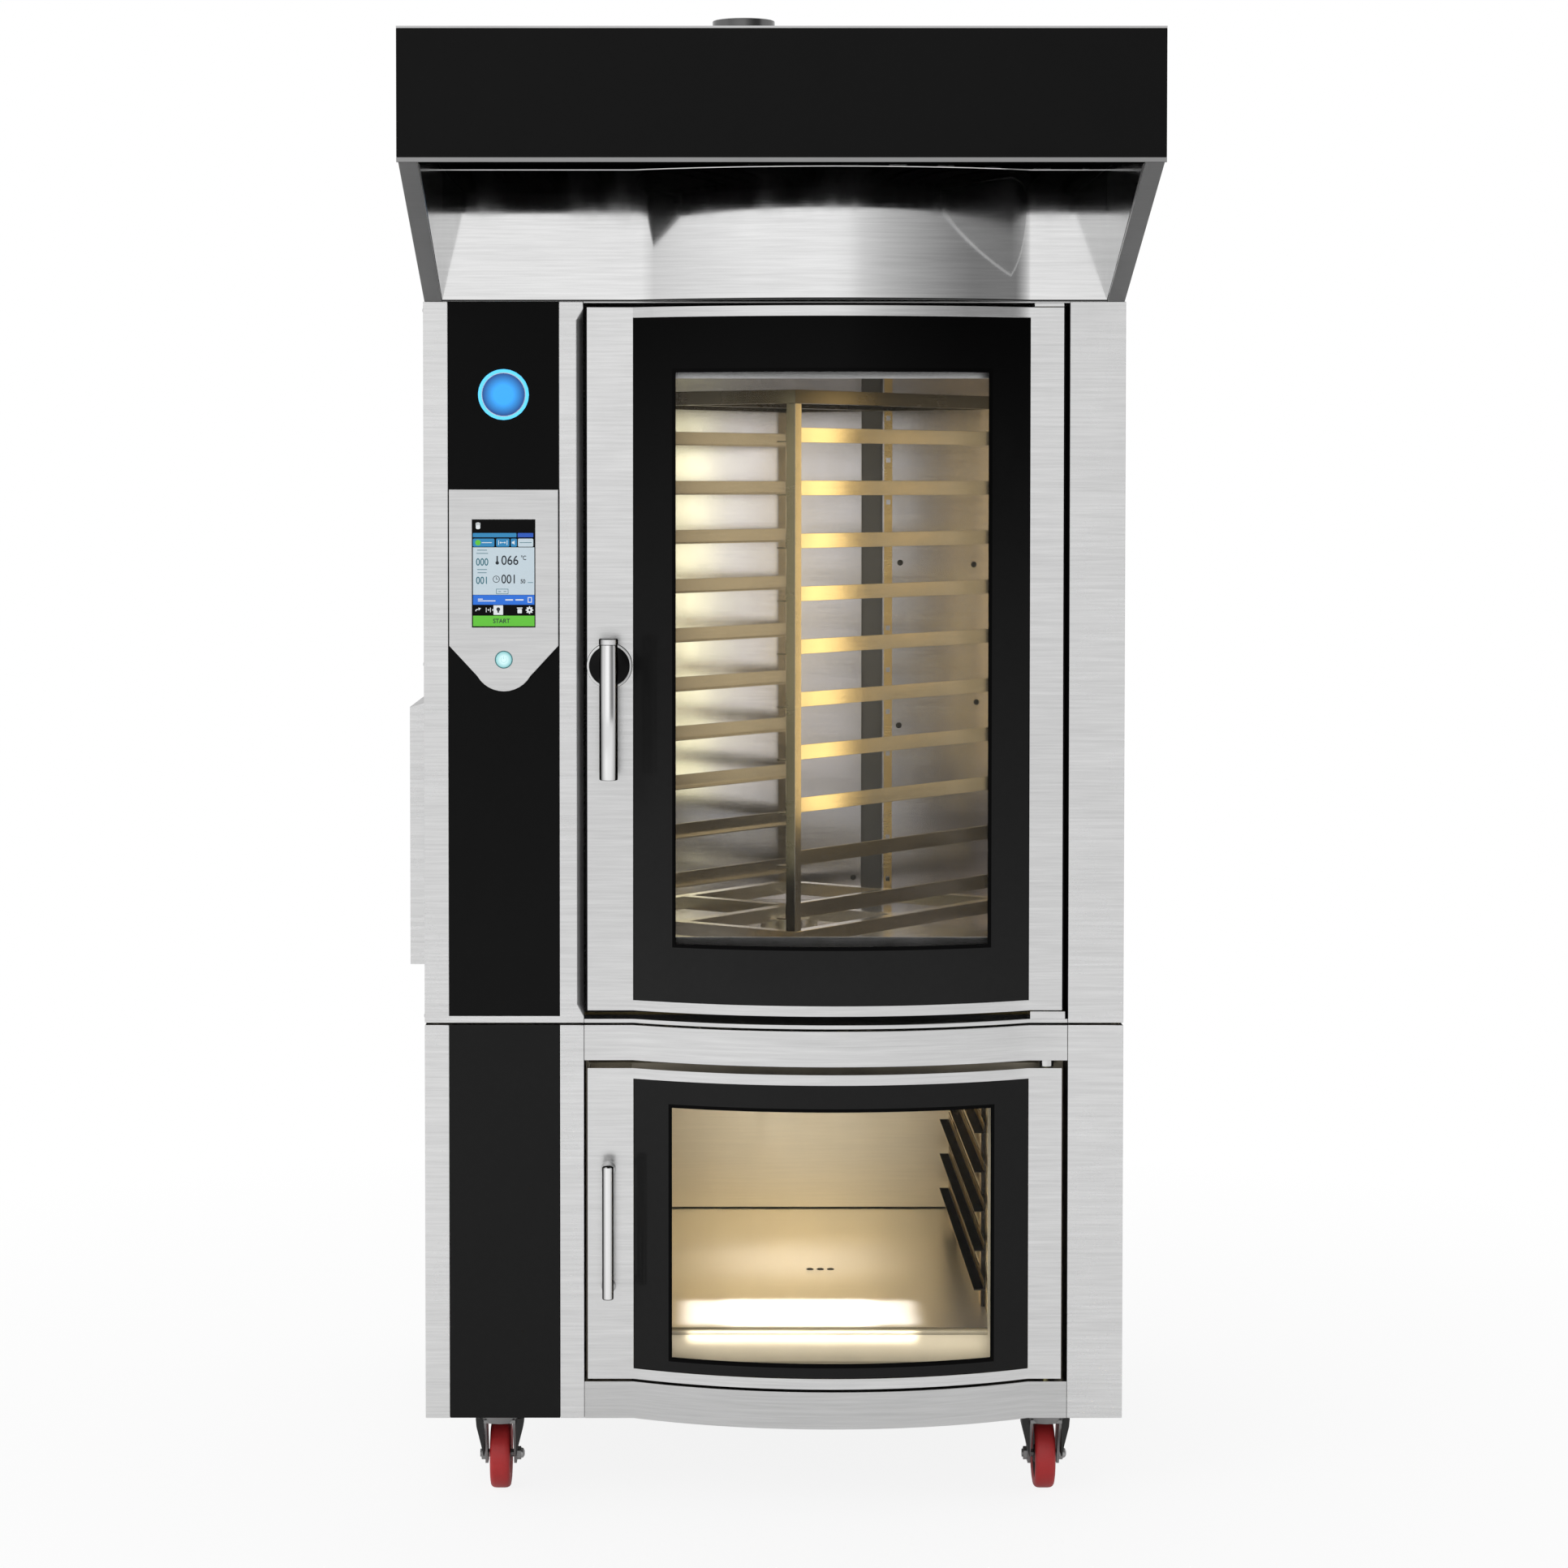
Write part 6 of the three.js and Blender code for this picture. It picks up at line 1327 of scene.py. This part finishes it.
DOOR_PLANE = -0.238                 # just behind the upper door opening
# what the rear wall mirrors: from x, to x, power for each square metre, colour
GLOW_PANELS = [(-0.170, -0.060, 6.2, (1.0, 0.95, 0.58)), (-0.060, 0.100, 2.2, (1.0, 0.92, 0.84)),
               (0.100, 0.215, 1.55, (1.0, 0.94, 0.88)), (0.215, 0.420, 0.2, (1.0, 0.85, 0.60))]
GLOW_FOOT, GLOW_TOP = 0.89, 1.61
SIDE_LIGHT_X, SIDE_LIGHT_Z, SIDE_LIGHT_HEIGHT = 0.475, 1.28, 0.68
LAMP_YELLOW, LAMP_PALE, LAMP_TOP = (1.0, 0.70, 0.28), (1.0, 0.83, 0.54), (1.0, 0.86, 0.6)
FLOOR_WHITE, SILL_WHITE = (1.0, 0.97, 0.93), (1.0, 0.96, 0.90)


def make_lights():
    """The soft key from the front left, and the lamps' light in both chambers."""
    hidden_light("key", (-2.4, -4.0, 3.2), (0, 0, 1.2), 2.4, 60, glossy=False)
    middle, height = (GLOW_FOOT + GLOW_TOP) / 2, GLOW_TOP - GLOW_FOOT
    for k, (x0, x1, power, colour) in enumerate(GLOW_PANELS):
        x = (x0 + x1) / 2
        hidden_light("chamber_glow_%d" % (k + 1), (x, DOOR_PLANE, middle), (x, 0.5, middle), x1 - x0,
                     power * (x1 - x0) * height, colour, height)
    for name, y, size, power, colour in (("chamber_right", 0.015, 0.08, 0.5, LAMP_YELLOW),
                                         ("chamber_right_middle", 0.21, 0.22, 0.12, LAMP_PALE),
                                         ("chamber_right_rear", 0.515, 0.15, 0.16, LAMP_PALE)):
        hidden_light(name, (SIDE_LIGHT_X, y, SIDE_LIGHT_Z), (0.0, y, SIDE_LIGHT_Z), size, power, colour,
                     SIDE_LIGHT_HEIGHT)
    hidden_light("proofer_top", (0.08, -0.20, 0.62), (0.02, 0.6, 0.36), 0.40, 0.9, LAMP_TOP, 0.05)
    for name, y, reach, size, depth, power, spread in (
            ("pale", -0.150, 0.09, 0.34, 0.16, 1.2, 30), ("core", -0.15, 0.08, 0.21, 0.16, 2.2, 36),
            ("soft", 0.22, 0.18, 0.24, 0.24, 0.30, 80)):
        hidden_light("proofer_floor_" + name, (0.070, y, PROOFER_FLOOR_Z + reach), (0.070, y, 0.0),
                     size, power, FLOOR_WHITE, depth, glossy=False, spread=spread)
    hidden_light("proofer_sill_glare", (0.072, -0.30, 0.245), (0.072, 0.0, 0.245), 0.33, 0.07,
                 SILL_WHITE, 0.022, glossy=False, spread=40)
    hidden_light("proofer_sill_glow", (0.11, -0.31, 0.232), (0.11, 0.0, 0.232), 0.46, 0.035,
                 SILL_WHITE, 0.03, glossy=False, spread=70)


# ------------------------------------------------------------------ making

make_camera()
dress_cabinet()
dress_hood()
add_casing_screws()
make_doors()
make_handles()
make_controls()
dress_inside()
make_castors()
make_floor()
make_world()
make_lights()
scene = bpy.context.scene
scene.view_settings.view_transform = "Standard"
